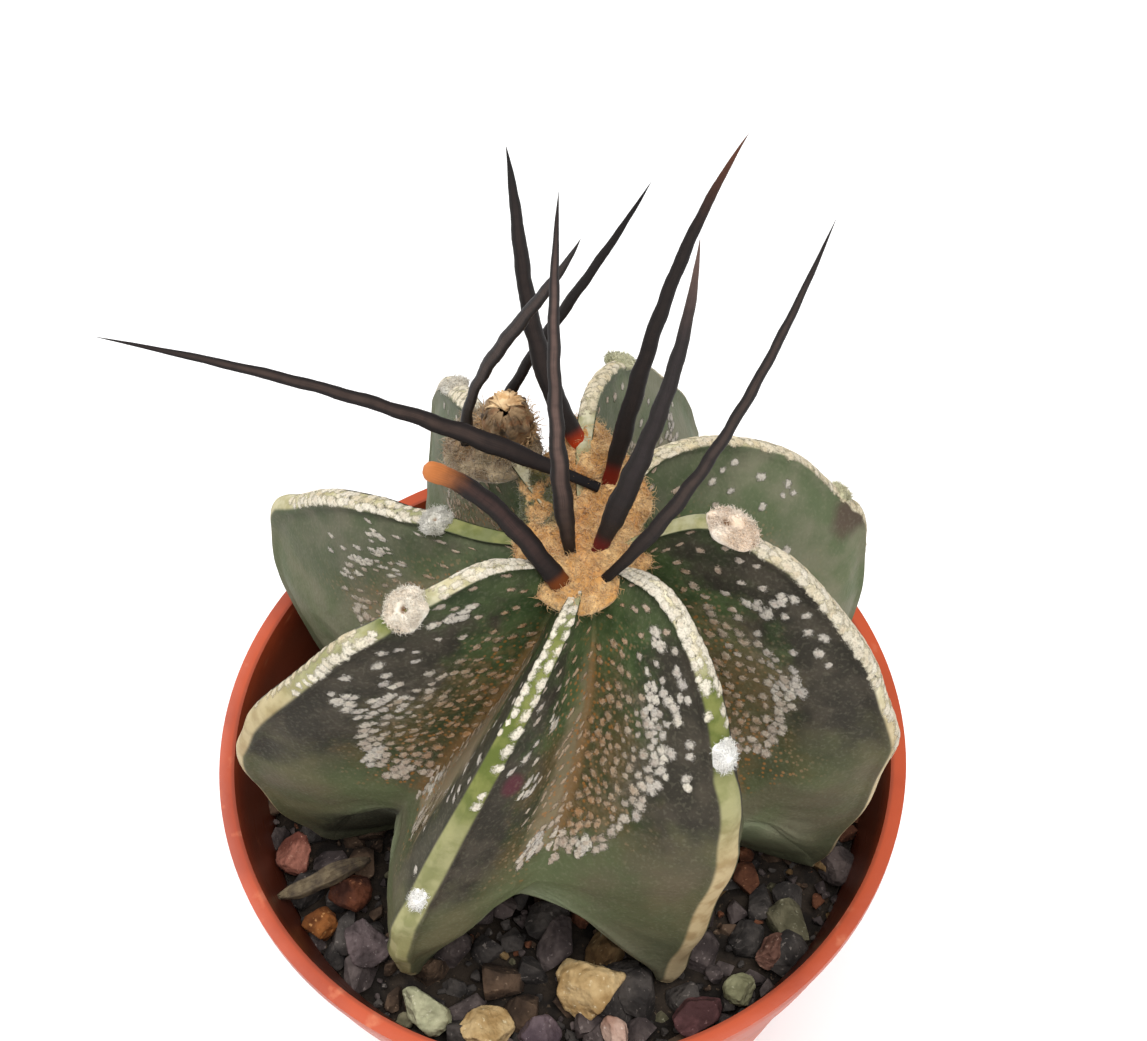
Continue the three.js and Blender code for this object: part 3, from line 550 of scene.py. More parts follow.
# How felted each cord is to look, and how far it has turned from green to tan, by level
CORD_FELT = {
    0: [(0.0, 0.6), (0.12, 0.0)], 1: [(0.0, 1.0), (0.28, 0.95), (0.36, 0.0)],
    2: [(0.0, 0.3), (0.2, 0.5), (0.26, 1.0), (0.6, 0.9), (0.9, 0.2)],
    3: [(0.0, 0.5), (0.15, 0.9), (0.8, 0.9), (1.1, 0.2)], 4: [(0.0, 0.5), (0.2, 0.8), (1.0, 0.5)],
    5: [(0.0, 0.7), (1.0, 0.6)], 6: [(0.0, 0.1), (0.18, 0.1), (0.3, 0.7), (0.7, 0.5), (0.9, 0.2)],
    7: [(0.0, 1.0), (0.17, 0.9), (0.26, 0.0), (0.3, 0.0), (0.36, 0.5), (0.42, 0.1)],
}
CORD_TAN = {
    0: [(0.36, 0.0), (0.52, 0.4), (0.75, 0.5), (1.0, 0.62)],
    1: [(0.5, 0.0), (0.62, 0.45), (0.85, 0.75), (1.1, 1.0)],
    2: [(0.2, 0.0), (0.5, 0.5), (0.9, 1.0)], 3: [(0.2, 0.2), (0.6, 0.7), (1.0, 1.0)],
    6: [(0.2, 0.0), (0.5, 0.4), (1.0, 0.8)], 7: [(0.3, 0.0), (0.42, 0.35), (0.6, 0.8), (1.0, 1.0)],
}
GREEN_THEN_TAN = [(0.4, 0.0), (1.0, 1.0)]


def along_crest(table, index, level):
    points = table.get(index % 8, GREEN_THEN_TAN)
    return np.interp(level, [p[0] for p in points], [p[1] for p in points])


MARKS = ("felt", "pale", "haze", "stain", "cord_felt", "cord_tan")
marks = {name: np.zeros(grid.shape[:2]) for name in MARKS}
for k, (index, side, share) in enumerate(columns):
    flank = FLANKS.get((index % 8, side), Flank())
    uneven = clumps(grid[:, k])
    stops = zone_end(flank, share, uneven)
    felted = crowding(flank, share, LEVELS, uneven) * eased(LEVELS, 0.14, 0.34)
    marks["felt"][:, k] = felted * eased(LEVELS, stops + 0.02, stops - 0.03)
    marks["pale"][:, k] = flank.pale * eased(share, 1, 0.5)
    # How much painted hazy light from behind pales the flank
    marks["haze"][:, k] = flank.haze
    # How much painted shade darkens the flank's foot by the soil
    marks["stain"][:, k] = flank.stain * eased(share, 0.97, 0.85)
    marks["cord_felt"][:, k] = along_crest(CORD_FELT, index, LEVELS)
    marks["cord_tan"][:, k] = along_crest(CORD_TAN, index, LEVELS)
mark(stem, share=np.array([share for _, _, share in columns])[column], level=LEVELS[inside])
mark(stem, **{name: values[inside, column] for name, values in marks.items()})

BRUISES = [  # dark scars on the skin: rib, side, share and level, radius in millimetres, colour
    (0, 1, 0.72, 0.45, 0.8, (84, 44, 50)),
    (3, -1, 0.95, 0.77, 1.7, (84, 72, 60)),
]


def attribute_of(shader, name, output="Fac"):
    """What was noted at a piece's corners, as a socket."""
    return placed(shader.id_data, "ShaderNodeAttribute", attribute_name=name).outputs[output]


def distance(place, middle):
    inputs = {0: place, 1: tuple(middle)}
    return fed("ShaderNodeVectorMath", inputs, operation="DISTANCE").outputs["Value"]


stem_skin, shader, place = new_finish("cactus_skin", 0.66, 0.18)
share, level = attribute_of(shader, "share"), attribute_of(shader, "level")
drift = times(minus(noise(place, 240, 6.0, 0.62), 0.5), 1.1)
outward = plus(share, drift)
downward = plus(level, times(drift, 0.7))
young = mottled(place, 420, 0.4, 0.62, (52, 68, 38), (72, 86, 52))
plum = mottled(place, 380, 0.4, 0.62, (50, 46, 38), (68, 62, 52))
flecked_ground = mottled(place, 380, 0.4, 0.62, (54, 62, 36), (80, 70, 42))
inner = mixed(spread(downward, 0.25, 0.5), young, flecked_ground)
upper = mixed(spread(outward, 0.36, 0.66), inner, plum)
upper = mixed(spread(downward, 0.34, 0.1, 0.0, 0.75), upper, young)
olive = mottled(place, 260, 0.36, 0.66, (78, 80, 54), (92, 88, 62))
olive = mixed(spread(outward, 0.75, 0.25, 0.0, 0.7), olive, (84, 94, 62))
whole = mixed(spread(downward, 0.7, 1.04), upper, olive)
blush = times(patches(place, 150, 0.46, 0.66), spread(downward, 0.6, 1.1, 0.0, 0.5))
whole = mixed(blush, whole, (92, 78, 66))
# Painted light: the far flanks are made paler and hazier, as if washed out by soft light from behind; the
# ribs' toes are paler too
backlit_far_skin = mottled(place, 300, 0.36, 0.66, (96, 108, 76), (124, 124, 100))
painted_backlight = times(attribute_of(shader, "haze"), spread(downward, 0.16, 0.4, 0.4, 1.0))
whole = mixed(painted_backlight, whole, backlit_far_skin)
whole = mixed(spread(downward, 1.2, 1.9, 0.0, 0.45), whole, (122, 128, 104))
# Painted shade on the flanks' foot by the soil, and the scars
painted_shade = times(attribute_of(shader, "stain"), spread(downward, 1.36, 1.75))
whole = mixed(painted_shade, whole, (40, 40, 32))
for index, side, at_share, at_level, radius, colour in BRUISES:
    middle = flank_point(index, side, np.array([at_share]), np.array([at_level]))[0]
    away = plus(distance(place, middle), times(drift, 1.6 * radius * MM))
    whole = mixed(spread(away, 1.4 * radius * MM, 0.4 * radius * MM), whole, colour)
# The haze of matted hair between the crowded flecks, tan by the furrow and lilac grey further out
matting = noise(place, 1250, 5.0, 0.6)
felt, pale = attribute_of(shader, "felt"), attribute_of(shader, "pale")
haze = larger(times(felt, spread(matting, 0.43, 0.68, 0.0, 0.42)), times(times(felt, pale), 0.5))
haze_colour = mixed(spread(outward, 0.15, 0.5), (132, 104, 66), (128, 118, 104))
haze_colour = mixed(pale, haze_colour, (172, 152, 124))
whole = mixed(haze, whole, haze_colour)
# Fine tan scurf under the larger flecks, in the furrow's half of the flank
dots = spread(cells(place, 2300), 0.36, 0.2)
between = times(spread(level, 0.1, 0.3), spread(downward, 1.0, 0.86))
scurf = times(dots, times(spread(outward, 0.66, 0.2), between))
scurf_colour = mixed(spread(outward, 0.08, 0.4), (156, 102, 48), (150, 124, 94))
whole = mixed(times(scurf, 0.7), whole, scurf_colour)
rust = times(spread(share, 0.075, 0.015), between)
whole = mixed(times(rust, 0.7), whole, (108, 78, 42))
# Pale stipple all over, as fine as the pores of the skin
whole = mixed(spread(noise(place, 3800), 0.5, 0.72, 0.0, 0.12), whole, (150, 146, 122))
# The cords on the crests turn from green to tan as they age, and are cream where felt covers them
cord_green = mottled(place, 500, 0.4, 0.6, (92, 102, 46), (122, 126, 68))
cord_pale = mottled(place, 600, 0.38, 0.62, (160, 136, 96), (188, 168, 128))
cord_sage = mottled(place, 600, 0.38, 0.62, (134, 134, 88), (160, 156, 112))
cord_cream = mottled(place, 900, 0.36, 0.62, (196, 184, 146), (232, 222, 194))
turned = attribute_of(shader, "cord_tan")
cord = mixed(spread(turned, 0.1, 0.5), cord_green, cord_sage)
cord = mixed(spread(turned, 0.5, 1.0), cord, cord_pale)
matted = times(attribute_of(shader, "cord_felt"), spread(matting, 0.3, 0.5, 0.6, 1.0))
cord = mixed(matted, cord, cord_cream)
# Painted light: the cords are made paler towards their toes, which lie in shade
cord = mixed(spread(downward, 1.3, 1.8, 0.0, 0.6), cord, (214, 198, 158))
whole = mixed(spread(share, 0.962, 0.98), whole, cord)
feed(shader, {"Base Color": mixed(spread(level, 2.3, 2.8), whole, (104, 78, 52))})
raised = plus(haze, times(matted, spread(share, 0.945, 0.974)))
height = plus(times(cells(place, 3000), 0.4), noise(place, 800, 6.0))
bumped(shader, plus(height, times(raised, 0.8)), 0.45, 0.16 * MM)
seat(stem, stem_skin, "stem_skin", "cactus_stem")


# The flecks
# Tiny tufts of matted white hair that dot the skin: a double row beside each crest, scattered on
# the open flanks, and crowded and tan towards the furrows. They stop a little above the soil.

FLECK_SIDES = 7
FLECK_LIE = 0.04
FLECK_TRIES = 4200
CORD_REACH = 0.95
SHOULDER = 0.5
OPEN_SIZES, CROWDED_SIZES = (0.28, 0.42), (0.26, 0.44)  # half widths, in millimetres
YOUNG_SIZES, CREST_SIZES = (0.22, 0.34), (0.34, 0.48)
PACE_STEP = 0.01  # a small step in level, over which the millimetres are measured
CREAM, WARM_CREAM, LILAC, PINKISH, TAN, HEART, SHADED = (
    tone(*seen) for seen in (
        (232, 224, 204), (206, 190, 150), (170, 163, 156), (166, 143, 115), (158, 113, 62),
        (172, 134, 112), (88, 82, 62),
    )
)
SPARSE_FLANKS = {(3, -1): 0.05, (4, -1): 0.5, (6, 1): 0.35, (5, 1): 0.6, (0, 1): 0.4}
# Places where several flecks have run together: rib, side, share, level, spread, and how many
FLUFFS = [
    (0, -1, 0.1, 0.89, 0.05, 26), (7, 1, 0.38, 0.8, 0.035, 16), (0, 1, 0.18, 0.84, 0.035, 16),
    (1, -1, 0.18, 0.91, 0.03, 12), (7, 1, 0.73, 0.24, 0.02, 6), (7, 1, 0.67, 0.2, 0.02, 5),
    (7, 1, 0.76, 0.54, 0.03, 9), (7, 1, 0.6, 0.5, 0.04, 12), (1, -1, 0.71, 0.26, 0.03, 7),
    (1, -1, 0.56, 0.36, 0.03, 10), (1, -1, 0.57, 0.44, 0.03, 9), (1, -1, 0.72, 0.4, 0.03, 9),
    (1, -1, 0.64, 0.54, 0.03, 8), (1, -1, 0.8, 0.62, 0.02, 3), (6, 1, 0.71, 0.39, 0.025, 9),
    (6, 1, 0.58, 0.42, 0.03, 9), (6, 1, 0.56, 0.55, 0.03, 8), (6, 1, 0.5, 0.66, 0.03, 6),
    (6, 1, 0.43, 0.48, 0.03, 6), (0, 1, 0.44, 0.37, 0.03, 6), (0, 1, 0.55, 0.5, 0.03, 6),
    (2, -1, 0.64, 0.35, 0.03, 5), (2, -1, 0.78, 0.34, 0.03, 3), (2, -1, 0.5, 0.6, 0.04, 10),
]
# The felt on each crest: rib, side, first and last level, how close the tufts are, and how pale.
# Side 0 is on top of the crest, and sides -1 and 1 are its shoulders.
CREST_FELT = [
    (0, -1, 0.04, 0.33, 1.0, 1.0), (0, 1, 0.04, 0.47, 0.35, 1.0), (0, 0, 0.03, 0.1, 1.0, 1.0),
    (1, -1, 0.04, 0.34, 1.0, 1.0), (1, -1, 0.36, 0.43, 0.7, 1.0), (1, 1, 0.04, 0.48, 1.0, 1.0),
    (1, 0, 0.03, 0.31, 1.0, 0.9),
    (2, -1, 0.22, 0.7, 1.0, 0.5), (2, 1, 0.22, 0.8, 1.0, 0.3), (2, 0, 0.22, 1.1, 1.0, 0.7),
    (3, -1, 0.08, 1.0, 1.0, 0.3), (3, 1, 0.08, 1.0, 0.8, 0.3), (3, 0, 0.1, 1.1, 1.0, 0.4),
    (4, -1, 0.12, 0.9, 0.8, 0.3), (4, 1, 0.12, 0.9, 0.8, 0.3), (4, 0, 0.12, 0.9, 0.8, 0.3),
    (5, -1, 0.12, 0.9, 0.8, 0.6), (5, 1, 0.12, 0.9, 0.8, 0.6), (5, 0, 0.12, 0.9, 0.8, 0.6),
    (6, -1, 0.2, 0.7, 0.6, 0.8), (6, 1, 0.19, 0.66, 1.0, 0.9), (6, 0, 0.24, 0.75, 0.5, 0.4),
    (7, -1, 0.03, 0.22, 1.0, 0.8), (7, 1, 0.03, 0.22, 1.0, 0.9), (7, 0, 0.03, 0.2, 1.0, 0.7),
    (7, 0, 0.33, 0.38, 1.0, 1.0), (7, 1, 0.34, 0.55, 1.0, 1.0), (7, -1, 0.36, 0.7, 0.7, 0.1),
]
chance = np.random.default_rng(11)


def unit(vectors):
    """The same directions with a length of one."""
    return vectors / np.linalg.norm(vectors, axis=-1, keepdims=True)


def mesh_of(name, places, faces):
    """One piece from the places of its corners and the faces between them."""
    data = bpy.data.meshes.new(name)
    data.from_pydata(places.reshape(-1, 3).tolist(), [], faces)
    piece = bpy.data.objects.new(name, data)
    bpy.context.scene.collection.objects.link(piece)
    return piece


def flank_width(index, side, level):
    furrow = rounded(lambda at: furrow_curve(index if side > 0 else index - 1, at), level)
    return np.linalg.norm(crest_point(index, level) - furrow, axis=-1) / MM


def skin_place(index, across, level):
    """A place on a rib's skin, millimetres round from the top of its crest: plus is towards side 1."""
    reach = np.abs(across)
    round_cord = np.minimum(reach, CORD_REACH) / CORD_REACH * math.pi / 2
    on_cord = CORD_START + (1 - CORD_START) * np.cos(round_cord)
    past = np.maximum(reach - CORD_REACH, 0)
    found = []
    for side in (-1, 1):
        share = np.maximum(on_cord - past / flank_width(index, side, level), 0)
        found.append(flank_point(index, side, share, level))
    return np.where((across < 0)[..., None], *found)


def crest_frame(index, level):
    """A place on the crest, with the directions along it, across to side 1, and out of it."""
    here, ahead = crest_point(index, np.array([level, level + 0.015]))
    along = unit(ahead - here)
    across = unit(np.cross([here[0], here[1], 12 * MM], along))
    return here, along, across, np.cross(along, across)


def fleck_mesh(name, tufts, rise):
    """Low ragged domes in one mesh that follow the skin, closed underneath. A tuft is its rib, its way
    round from the crest, its level, its half length and half width, and its colour."""
    rib, across, level, length, width = np.array([tuft[:5] for tuft in tufts], float).T
    colours = np.array([tuft[5] for tuft in tufts])[:, None]
    count, ring_angles = len(tufts), 2 * math.pi * np.arange(FLECK_SIDES) / FLECK_SIDES
    spin = chance.uniform(0, 2 * math.pi, (count, 1))
    middle = np.zeros((count, 1))
    down, aside = [middle], [middle]
    for ring, reach in enumerate((0.6, 1.25)):
        angle = spin + ring_angles + 0.5 * ring
        rough = reach * chance.uniform(0.75, 1.25, angle.shape)
        down.append(np.cos(angle) * rough * length[:, None])
        aside.append(np.sin(angle) * rough * width[:, None])
    down, aside = np.hstack(down + [middle]), np.hstack(aside + [middle])
    rises = [rise] + [way(FLECK_LIE, rise, 0.8)] * FLECK_SIDES + [FLECK_LIE] * FLECK_SIDES + [-0.1]
    lift = np.array(rises) * width[:, None] * chance.uniform(0.7, 1.3, down.shape)
    places = np.empty(down.shape + (3,))
    for index in range(8):
        mine = rib == index
        here, at = across[mine, None], level[mine, None]
        ahead = skin_place(index, here, at + PACE_STEP)
        pace = np.linalg.norm(ahead - skin_place(index, here, at), axis=-1) / MM / PACE_STEP
        here, at = here + aside[mine], at + down[mine] / pace
        along = skin_place(index, here, at + 0.004) - skin_place(index, here, at - 0.004)
        crossing = skin_place(index, here + 0.04, at) - skin_place(index, here - 0.04, at)
        out = lift[mine][..., None] * MM * unit(np.cross(along, crossing))
        places[mine] = skin_place(index, here, at) + out
    size = down.shape[1]
    faces = []
    for k in range(FLECK_SIDES):
        a, b = 1 + k, 1 + (k + 1) % FLECK_SIDES
        c, d = a + FLECK_SIDES, b + FLECK_SIDES
        faces += [(0, a, b), (a, c, b), (b, c, d), (size - 1, d, c)]
    faces = (np.array(faces) + size * np.arange(count)[:, None, None]).reshape(-1, 3)
    goal = np.array([HEART] + [CREAM] * (size - 1))
    tints = way(colours, goal, chance.uniform(0, 0.3, down.shape)[..., None])
    edges = np.tile([0] + [0.5] * FLECK_SIDES + [1] * (FLECK_SIDES + 1), count)
    piece = mesh_of(name, places, faces.tolist())
    colour = piece.data.attributes.new("tint", "FLOAT_COLOR", "POINT")
    colour.data.foreach_set("color", tints.astype(np.float32).ravel())
    mark(piece, edge=edges)
    smoothed(piece)
    return piece


def blended(first, second, share):
    return tuple(way(a, b, share) for a, b in zip(first, second))


def flank_tufts(index, side):
    """Tufts on one flank: crowded and run together by the furrow, single ones further out."""
    share = chance.uniform(0.0, 0.9, FLECK_TRIES)
    level = chance.uniform(0.07, 1.05, FLECK_TRIES)
    here = flank_point(index, side, share, level)
    across = side * (CORD_REACH + (CORD_START - share) * flank_width(index, side, level))
    uneven = clumps(here)
    luck = chance.uniform(0, 1, FLECK_TRIES)
    flank = FLANKS.get((index, side), Flank())
    crowded = crowding(flank, share, level, uneven)
    young = eased(level + 0.06 * uneven, 0.42, 0.12)
    ends = zone_end(flank, share, uneven)
    near_end = eased(level, ends - 0.16, ends - 0.03)
    step = way(way(2.3, 0.85, eased(uneven, -0.1, 0.8)), 0.78 - 0.2 * uneven, crowded)
    step = way(way(step, 1.3 - 0.4 * uneven, young), 0.56, near_end * crowded)
    common = way(0.55, 1.0, crowded) * SPARSE_FLANKS.get((index, side), 1)
    keep = (level < ends) & (share < 0.87) & (luck < common)
    pale = flank.pale
    tufts, taken = [], np.empty((0, 3))
    for k in np.flatnonzero(keep):
        if len(taken) and np.linalg.norm(taken - here[k], axis=1).min() < step[k] * MM:
            continue
        taken = np.vstack([taken, here[k]])
        size = way(chance.uniform(*OPEN_SIZES), chance.uniform(*CROWDED_SIZES), crowded[k])
        size = way(size, chance.uniform(*YOUNG_SIZES), 0.8 * young[k]) + 0.1 * near_end[k] * crowded[k]
        outer = eased(share[k] + chance.normal(0, 0.05), 0.28, 0.66)
        colour = blended(TAN, PINKISH, way(pale, 1, eased(share[k], 0.08, 0.4)) * (1 - 0.8 * young[k]))
        colour = blended(colour, LILAC, max(outer * (1 - 0.6 * young[k]), 0.6 * near_end[k]))
        colour = blended(colour, CREAM, chance.uniform(0, 0.3) * max(outer, near_end[k]) * (1 - young[k]))
        colour = blended(colour, SHADED, chance.uniform(0.0, 0.4) * crowded[k] * (1 - near_end[k]))
        tufts.append((index, across[k], level[k], size * chance.uniform(0.85, 1.25), size, colour))
    return tufts


def fluff_tufts(index, side, share, level, reach, count):
    """Tufts crowded about one place on a flank."""
    shares, levels = chance.normal(share, reach, count), chance.normal(level, 0.8 * reach, count)
    inner = np.clip(shares, 0.03, 0.9)
    across = side * (CORD_REACH + (CORD_START - inner) * flank_width(index, side, levels))
    sizes = chance.uniform(*CROWDED_SIZES, count)
    return [(index, place, at, 1.2 * size, size, blended(LILAC, CREAM, chance.uniform(0.1, 0.6)))
            for place, at, size in zip(across, levels, sizes)]


def crest_tufts(index, side, start, end, closeness, pale):
    """Tufts that run together along the top of a crest or along one of its shoulders."""
    tufts, level = [], start
    while level < end:
        fade = 1 - eased(level, end - 0.1, end)
        across = side * SHOULDER + chance.normal(0, 0.09 if side else 0.2)
        size = chance.uniform(*CREST_SIZES) * way(0.65, 1, fade)
        stretch = chance.uniform(1.0, 1.7)
        if chance.uniform() < way(0.8, 1, closeness) * way(0.6, 1, fade):
            shade = blended(WARM_CREAM, CREAM, np.clip(pale + chance.uniform(-0.3, 0.3), 0, 1))
            shade = blended(shade, LILAC, chance.uniform(0, 0.3))
            tufts.append((index, across, level, size * stretch, size, shade))
        here, after = crest_point(index, np.array([level, level + PACE_STEP]))
        pace = np.linalg.norm(after - here) / MM / PACE_STEP
        gap = abs(chance.normal(0, 0.12)) + 0.5 * (1 - fade)
        level += (size * stretch * way(2.3, 1.15, closeness) + gap) / pace
    return tufts


fleck_finish, shader, place = new_finish("matted_tufts", 0.95)
fuzz = noise(place, 7000, 3.0)
shadowed = mixed(spread(fuzz, 0.3, 0.6, 0.3, 0.0), attribute_of(shader, "tint", "Color"), (110, 96, 80))
wisps = times(minus(noise(place, 4200, 4.0, 0.7), 0.5), 1.7)
worn = plus(attribute_of(shader, "edge"), wisps)
feed(shader, {"Base Color": shadowed, "Alpha": spread(worn, 1.0, 0.28)})
bumped(shader, fuzz, 0.8, 0.1 * MM)
scattered = [tuft for index in range(8) for side in (-1, 1) for tuft in flank_tufts(index, side)]
scattered += [tuft for fluff in FLUFFS for tuft in fluff_tufts(*fluff)]
flank_flecks = fleck_mesh("flank_flecks", scattered, 0.13)
seat(flank_flecks, fleck_finish, "stem_skin")
rows = [tuft for felted in CREST_FELT for tuft in crest_tufts(*felted)]
crest_flecks = fleck_mesh("crest_flecks", rows, 0.16)
seat(crest_flecks, fleck_finish, "stem_skin")


# The felt pads
# Low round pads of felt on the crests, where old spines stood. All but one have a dimple in the
# middle, and all have fine short hairs, which leave the bottom of the deeper dimples bare.

def hairs(name, roots, ways, lengths, width, curl, seed):
    """Thin three-sided tapering hairs in one mesh, each bent by its own seeded curl."""
    luck = np.random.default_rng(seed)
    count, steps = len(roots), 4
    bend = unit(np.cross(ways, luck.normal(size=(count, 3))))
    third = np.cross(ways, bend)
    phase = luck.uniform(0, 2 * math.pi, count)
    places = np.empty((count, steps + 1, 3, 3))
    for k in range(steps + 1):
        t = k / steps
        sway = curl * (t * t)
        twist = 0.25 * curl * np.sin(5 * t + phase)[:, None]
        middle = roots + lengths[:, None] * (ways * t * (1 - 0.35 * sway) + bend * sway + third * twist)
        thick = width * (1 - 0.85 * t)
        for corner in range(3):
            angle = 2 * math.pi * corner / 3
            places[:, k, corner] = middle + thick * (math.cos(angle) * bend + math.sin(angle) * third)
    first = (np.arange(count) * (steps + 1) * 3)[:, None]
    quads = []
    for k in range(steps):
        for corner in range(3):
            a, b = k * 3 + corner, k * 3 + (corner + 1) % 3
            quads.append(first + np.array([[a, b, b + 3, a + 3]]))
    caps = np.concatenate([first + np.array([[0, 2, 1]]), first + np.array([[0, 1, 2]]) + steps * 3])
    piece = mesh_of(name, places, np.concatenate(quads).tolist() + caps.tolist())
    mark(piece, tip=np.tile(np.repeat(np.linspace(0, 1, steps + 1), 3), count))
    smoothed(piece)
    return piece


PIT = (120, 88, 56)
THIN = (84, 86, 46)


def felt_finish(name, light, dark, warm, thin=None):
    """Matted hair: dark among the roots and in the pit of a pad, lighter towards the tips. The skin
    shows through about the place where it is thin."""
    material, shader, place = new_finish(name, 0.95)
    base = mottled(place, 900, 0.38, 0.62, light, dark)
    base = mixed(patches(place, 260, 0.48, 0.66), base, warm)
    base = mixed(spread(attribute_of(shader, "tip"), 0.1, 0.9, 0.0, 0.6), base, light)
    base = mixed(spread(attribute_of(shader, "heart"), 0.2, 0.55), base, PIT)
    if thin:
        gaps = patches(place, 800, 0.42, 0.52)
        base = mixed(times(gaps, spread(distance(place, thin), 3.6 * MM, 1.6 * MM)), base, THIN)
    feed(shader, {"Base Color": base, "Sheen Weight": 0.35})
    bumped(shader, noise(place, 5200, 4.0), 0.9, 0.15 * MM)
    return material


TWO_PITS = [(0.1, -0.05, 0.75, 0.05), (-0.1, 0.5, 0.35, 0.05)]  # across and along, depth, and spread
PITS = {2: [(-0.1, -0.36, 0.62, 0.09), (0.15, 0.5, 0.35, 0.06)], 4: [], 7: TWO_PITS}
PAD_FELTS = {
    "grey": ((232, 228, 218), (200, 196, 182), (214, 204, 184)),
    "green": ((206, 202, 166), (160, 160, 120), (190, 180, 140)),
    "cream": ((250, 242, 226), (230, 216, 196), (236, 220, 198)),
    "white": ((255, 253, 248), (246, 242, 234), (252, 246, 236)),
    "tan": ((252, 238, 220), (226, 202, 178), (232, 206, 178)),
}
PAD_SUNK, PAD_HAIRS_SUNK = 0.35, 0.38
PAD_HAIRS = 420
PAD_HAIR_LENGTHS = (0.2, 0.42)
PAD_HAIR_WIDTH = 0.04 * MM
PAD_KINDS = ("white", "white", "tan", "green", "green", "grey", "grey", "cream")
pad_finishes = {kind: felt_finish(kind + "_felt", *colours) for kind, colours in PAD_FELTS.items()}


def pad_hollow(index, x, y):
    """The depth of the dimples at a place on a pad, in shares of its half height."""
    pits = PITS.get(index, [(0.1, -0.05, 0.1 if index < 2 else 0.5, 0.06)])
    return sum((d * np.exp(-((x - a) ** 2 + (y - b) ** 2) / wide) for a, b, d, wide in pits), 0 * x)


for number, ((index, level, wide, long, high), kind) in enumerate(zip(PADS, PAD_KINDS)):
    here, along, across, out = crest_frame(index, level)
    bpy.ops.mesh.primitive_uv_sphere_add(segments=36, ring_count=24, radius=1)
    pad = fresh("felt_pad_" + "abcdefgh"[index])
    x, y, z = corners(pad).T
    pit = pad_hollow(index, x, y) * (z > 0)
    lump = 1 + 0.07 * np.sin(5 * np.arctan2(y, x) + number) * np.hypot(x, y)
    shaped = (x * wide * lump)[:, None] * across + (y * long * lump)[:, None] * along
    shaped = shaped + ((z - pit - PAD_SUNK) * high)[:, None] * out
    move_corners(pad, here + shaped * MM)
    mark(pad, heart=pit)
    smoothed(pad)
    seat(pad, pad_finishes[kind], "stem_skin")
    luck = np.random.default_rng(40 + number)
    count = int(PAD_HAIRS * wide * long)
    turn, reach = luck.uniform(0, 2 * math.pi, count), np.sqrt(luck.uniform(0.08, 1, count))
    x, y = np.cos(turn) * reach, np.sin(turn) * reach
    hollow = pad_hollow(index, x, y)
    top = np.sqrt(1 - 0.98 * reach**2) - hollow - PAD_HAIRS_SUNK
    x, y = x[:, None], y[:, None]
    roots = here + MM * (x * wide * across + y * long * along + top[:, None] * high * out)
    ways = x * across + y * along + luck.uniform(0.1, 0.5, count)[:, None] * out
    ways = unit(ways + 0.5 * luck.normal(size=(count, 3)))
    rim = hollow < 0.4
    lengths = luck.uniform(*PAD_HAIR_LENGTHS, count) * MM
    name = pad.name + "_hairs"
    fuzz = hairs(name, roots[rim], ways[rim], lengths[rim], PAD_HAIR_WIDTH, 1.0, 60 + number)
    seat(fuzz, pad_finishes[kind], "stem_skin")


# The crown wool
# A cushion of matted tan wool over the growing point, with a V at the front where it runs down
# into the furrow, a second patch behind it round the dried flower, and a tuft round a spine's foot.

WOOL = [
    ((2.0, 1.5, 27.2), [
        (1.6, -5.0, 26.2), (3.6, -4.5, 26.2), (5.3, -3.3, 26.9), (6.9, -1.7, 27.3), (6.2, 0.6, 27.2),
        (7.2, 2.6, 27.4), (6.7, 4.3, 28.2), (5.4, 6.3, 29.0), (3.9, 8.0, 29.4), (1.7, 7.9, 29.0),
        (0.0, 6.9, 28.2), (-1.8, 6.0, 28.2), (-1.9, 3.4, 26.9), (-2.4, 0.9, 26.5),
        (-1.9, -1.8, 26.6), (-0.5, -3.9, 26.3),
    ]),
    ((-3.9, 8.7, 28.3), [
        (-2.8, 4.9, 28.2), (-0.3, 6.4, 28.3), (-0.6, 9.2, 28.0), (-2.0, 11.3, 27.7),
        (-4.6, 12.0, 27.2), (-6.7, 10.2, 26.8), (-7.1, 7.8, 26.8), (-5.4, 5.9, 27.5),
    ]),
    ((2.5, 6.1, 30.4), [
        (0.7, 5.2, 29.3), (1.6, 4.1, 29.0), (3.2, 3.9, 29.0), (4.4, 4.9, 29.2),
        (4.5, 6.6, 29.8), (3.4, 7.8, 30.8), (2.0, 7.8, 30.8), (0.9, 6.8, 30.0),
    ]),
]
WOOL_PIECES = [("crown_wool", 4800), ("flower_wool", 2200), ("spine_foot_wool", 900)]
WOOL_DOME = 0.8
WOOL_DEPTH = 2.0
WOOL_HAIRS_SUNK = 0.08 * MM
WOOL_HAIR_LENGTHS = (0.3, 0.75)
WOOL_HAIR_WIDTH = 0.042 * MM
THIN_PLACE = np.array([-0.8, 3.4, 27.4])


def edge_point(edge, turn):
    """A point of the closed smooth curve through the edge's points, turn running from 0 to 1."""
    points = np.array(edge)
    count = len(points)
    at = np.asarray(turn) * count
    k = np.floor(at).astype(int)
    t = (at - k)[..., None]
    p0, p1, p2, p3 = (points[(k + shift) % count] for shift in (-1, 0, 1, 2))
    bend = 2 * p0 - 5 * p1 + 4 * p2 - p3
    return 0.5 * (2 * p1 + (p2 - p0) * t + bend * t**2 + (3 * p1 - p0 - 3 * p2 + p3) * t**3)


def wool_point(middle, edge, turn, share, over=True):
    """A point of a patch of wool, on top or underneath, in metres."""
    point = way(np.array(middle), edge_point(edge, turn), share[..., None])
    x, y = point[..., 0], point[..., 1]
    lumps = 0.42 * np.sin(2.3 * x + 1.1 * y) * np.sin(1.7 * y - 0.9 * x)
    lumps = lumps + 0.16 * np.sin(5.1 * x) * np.sin(4.3 * y)
    dome = np.sqrt(np.clip(1 - share**2, 0, 1))
    point[..., 2] += np.where(over, WOOL_DOME * dome + lumps * (1 - share**4), -WOOL_DEPTH * dome)
    return over_rim(point)


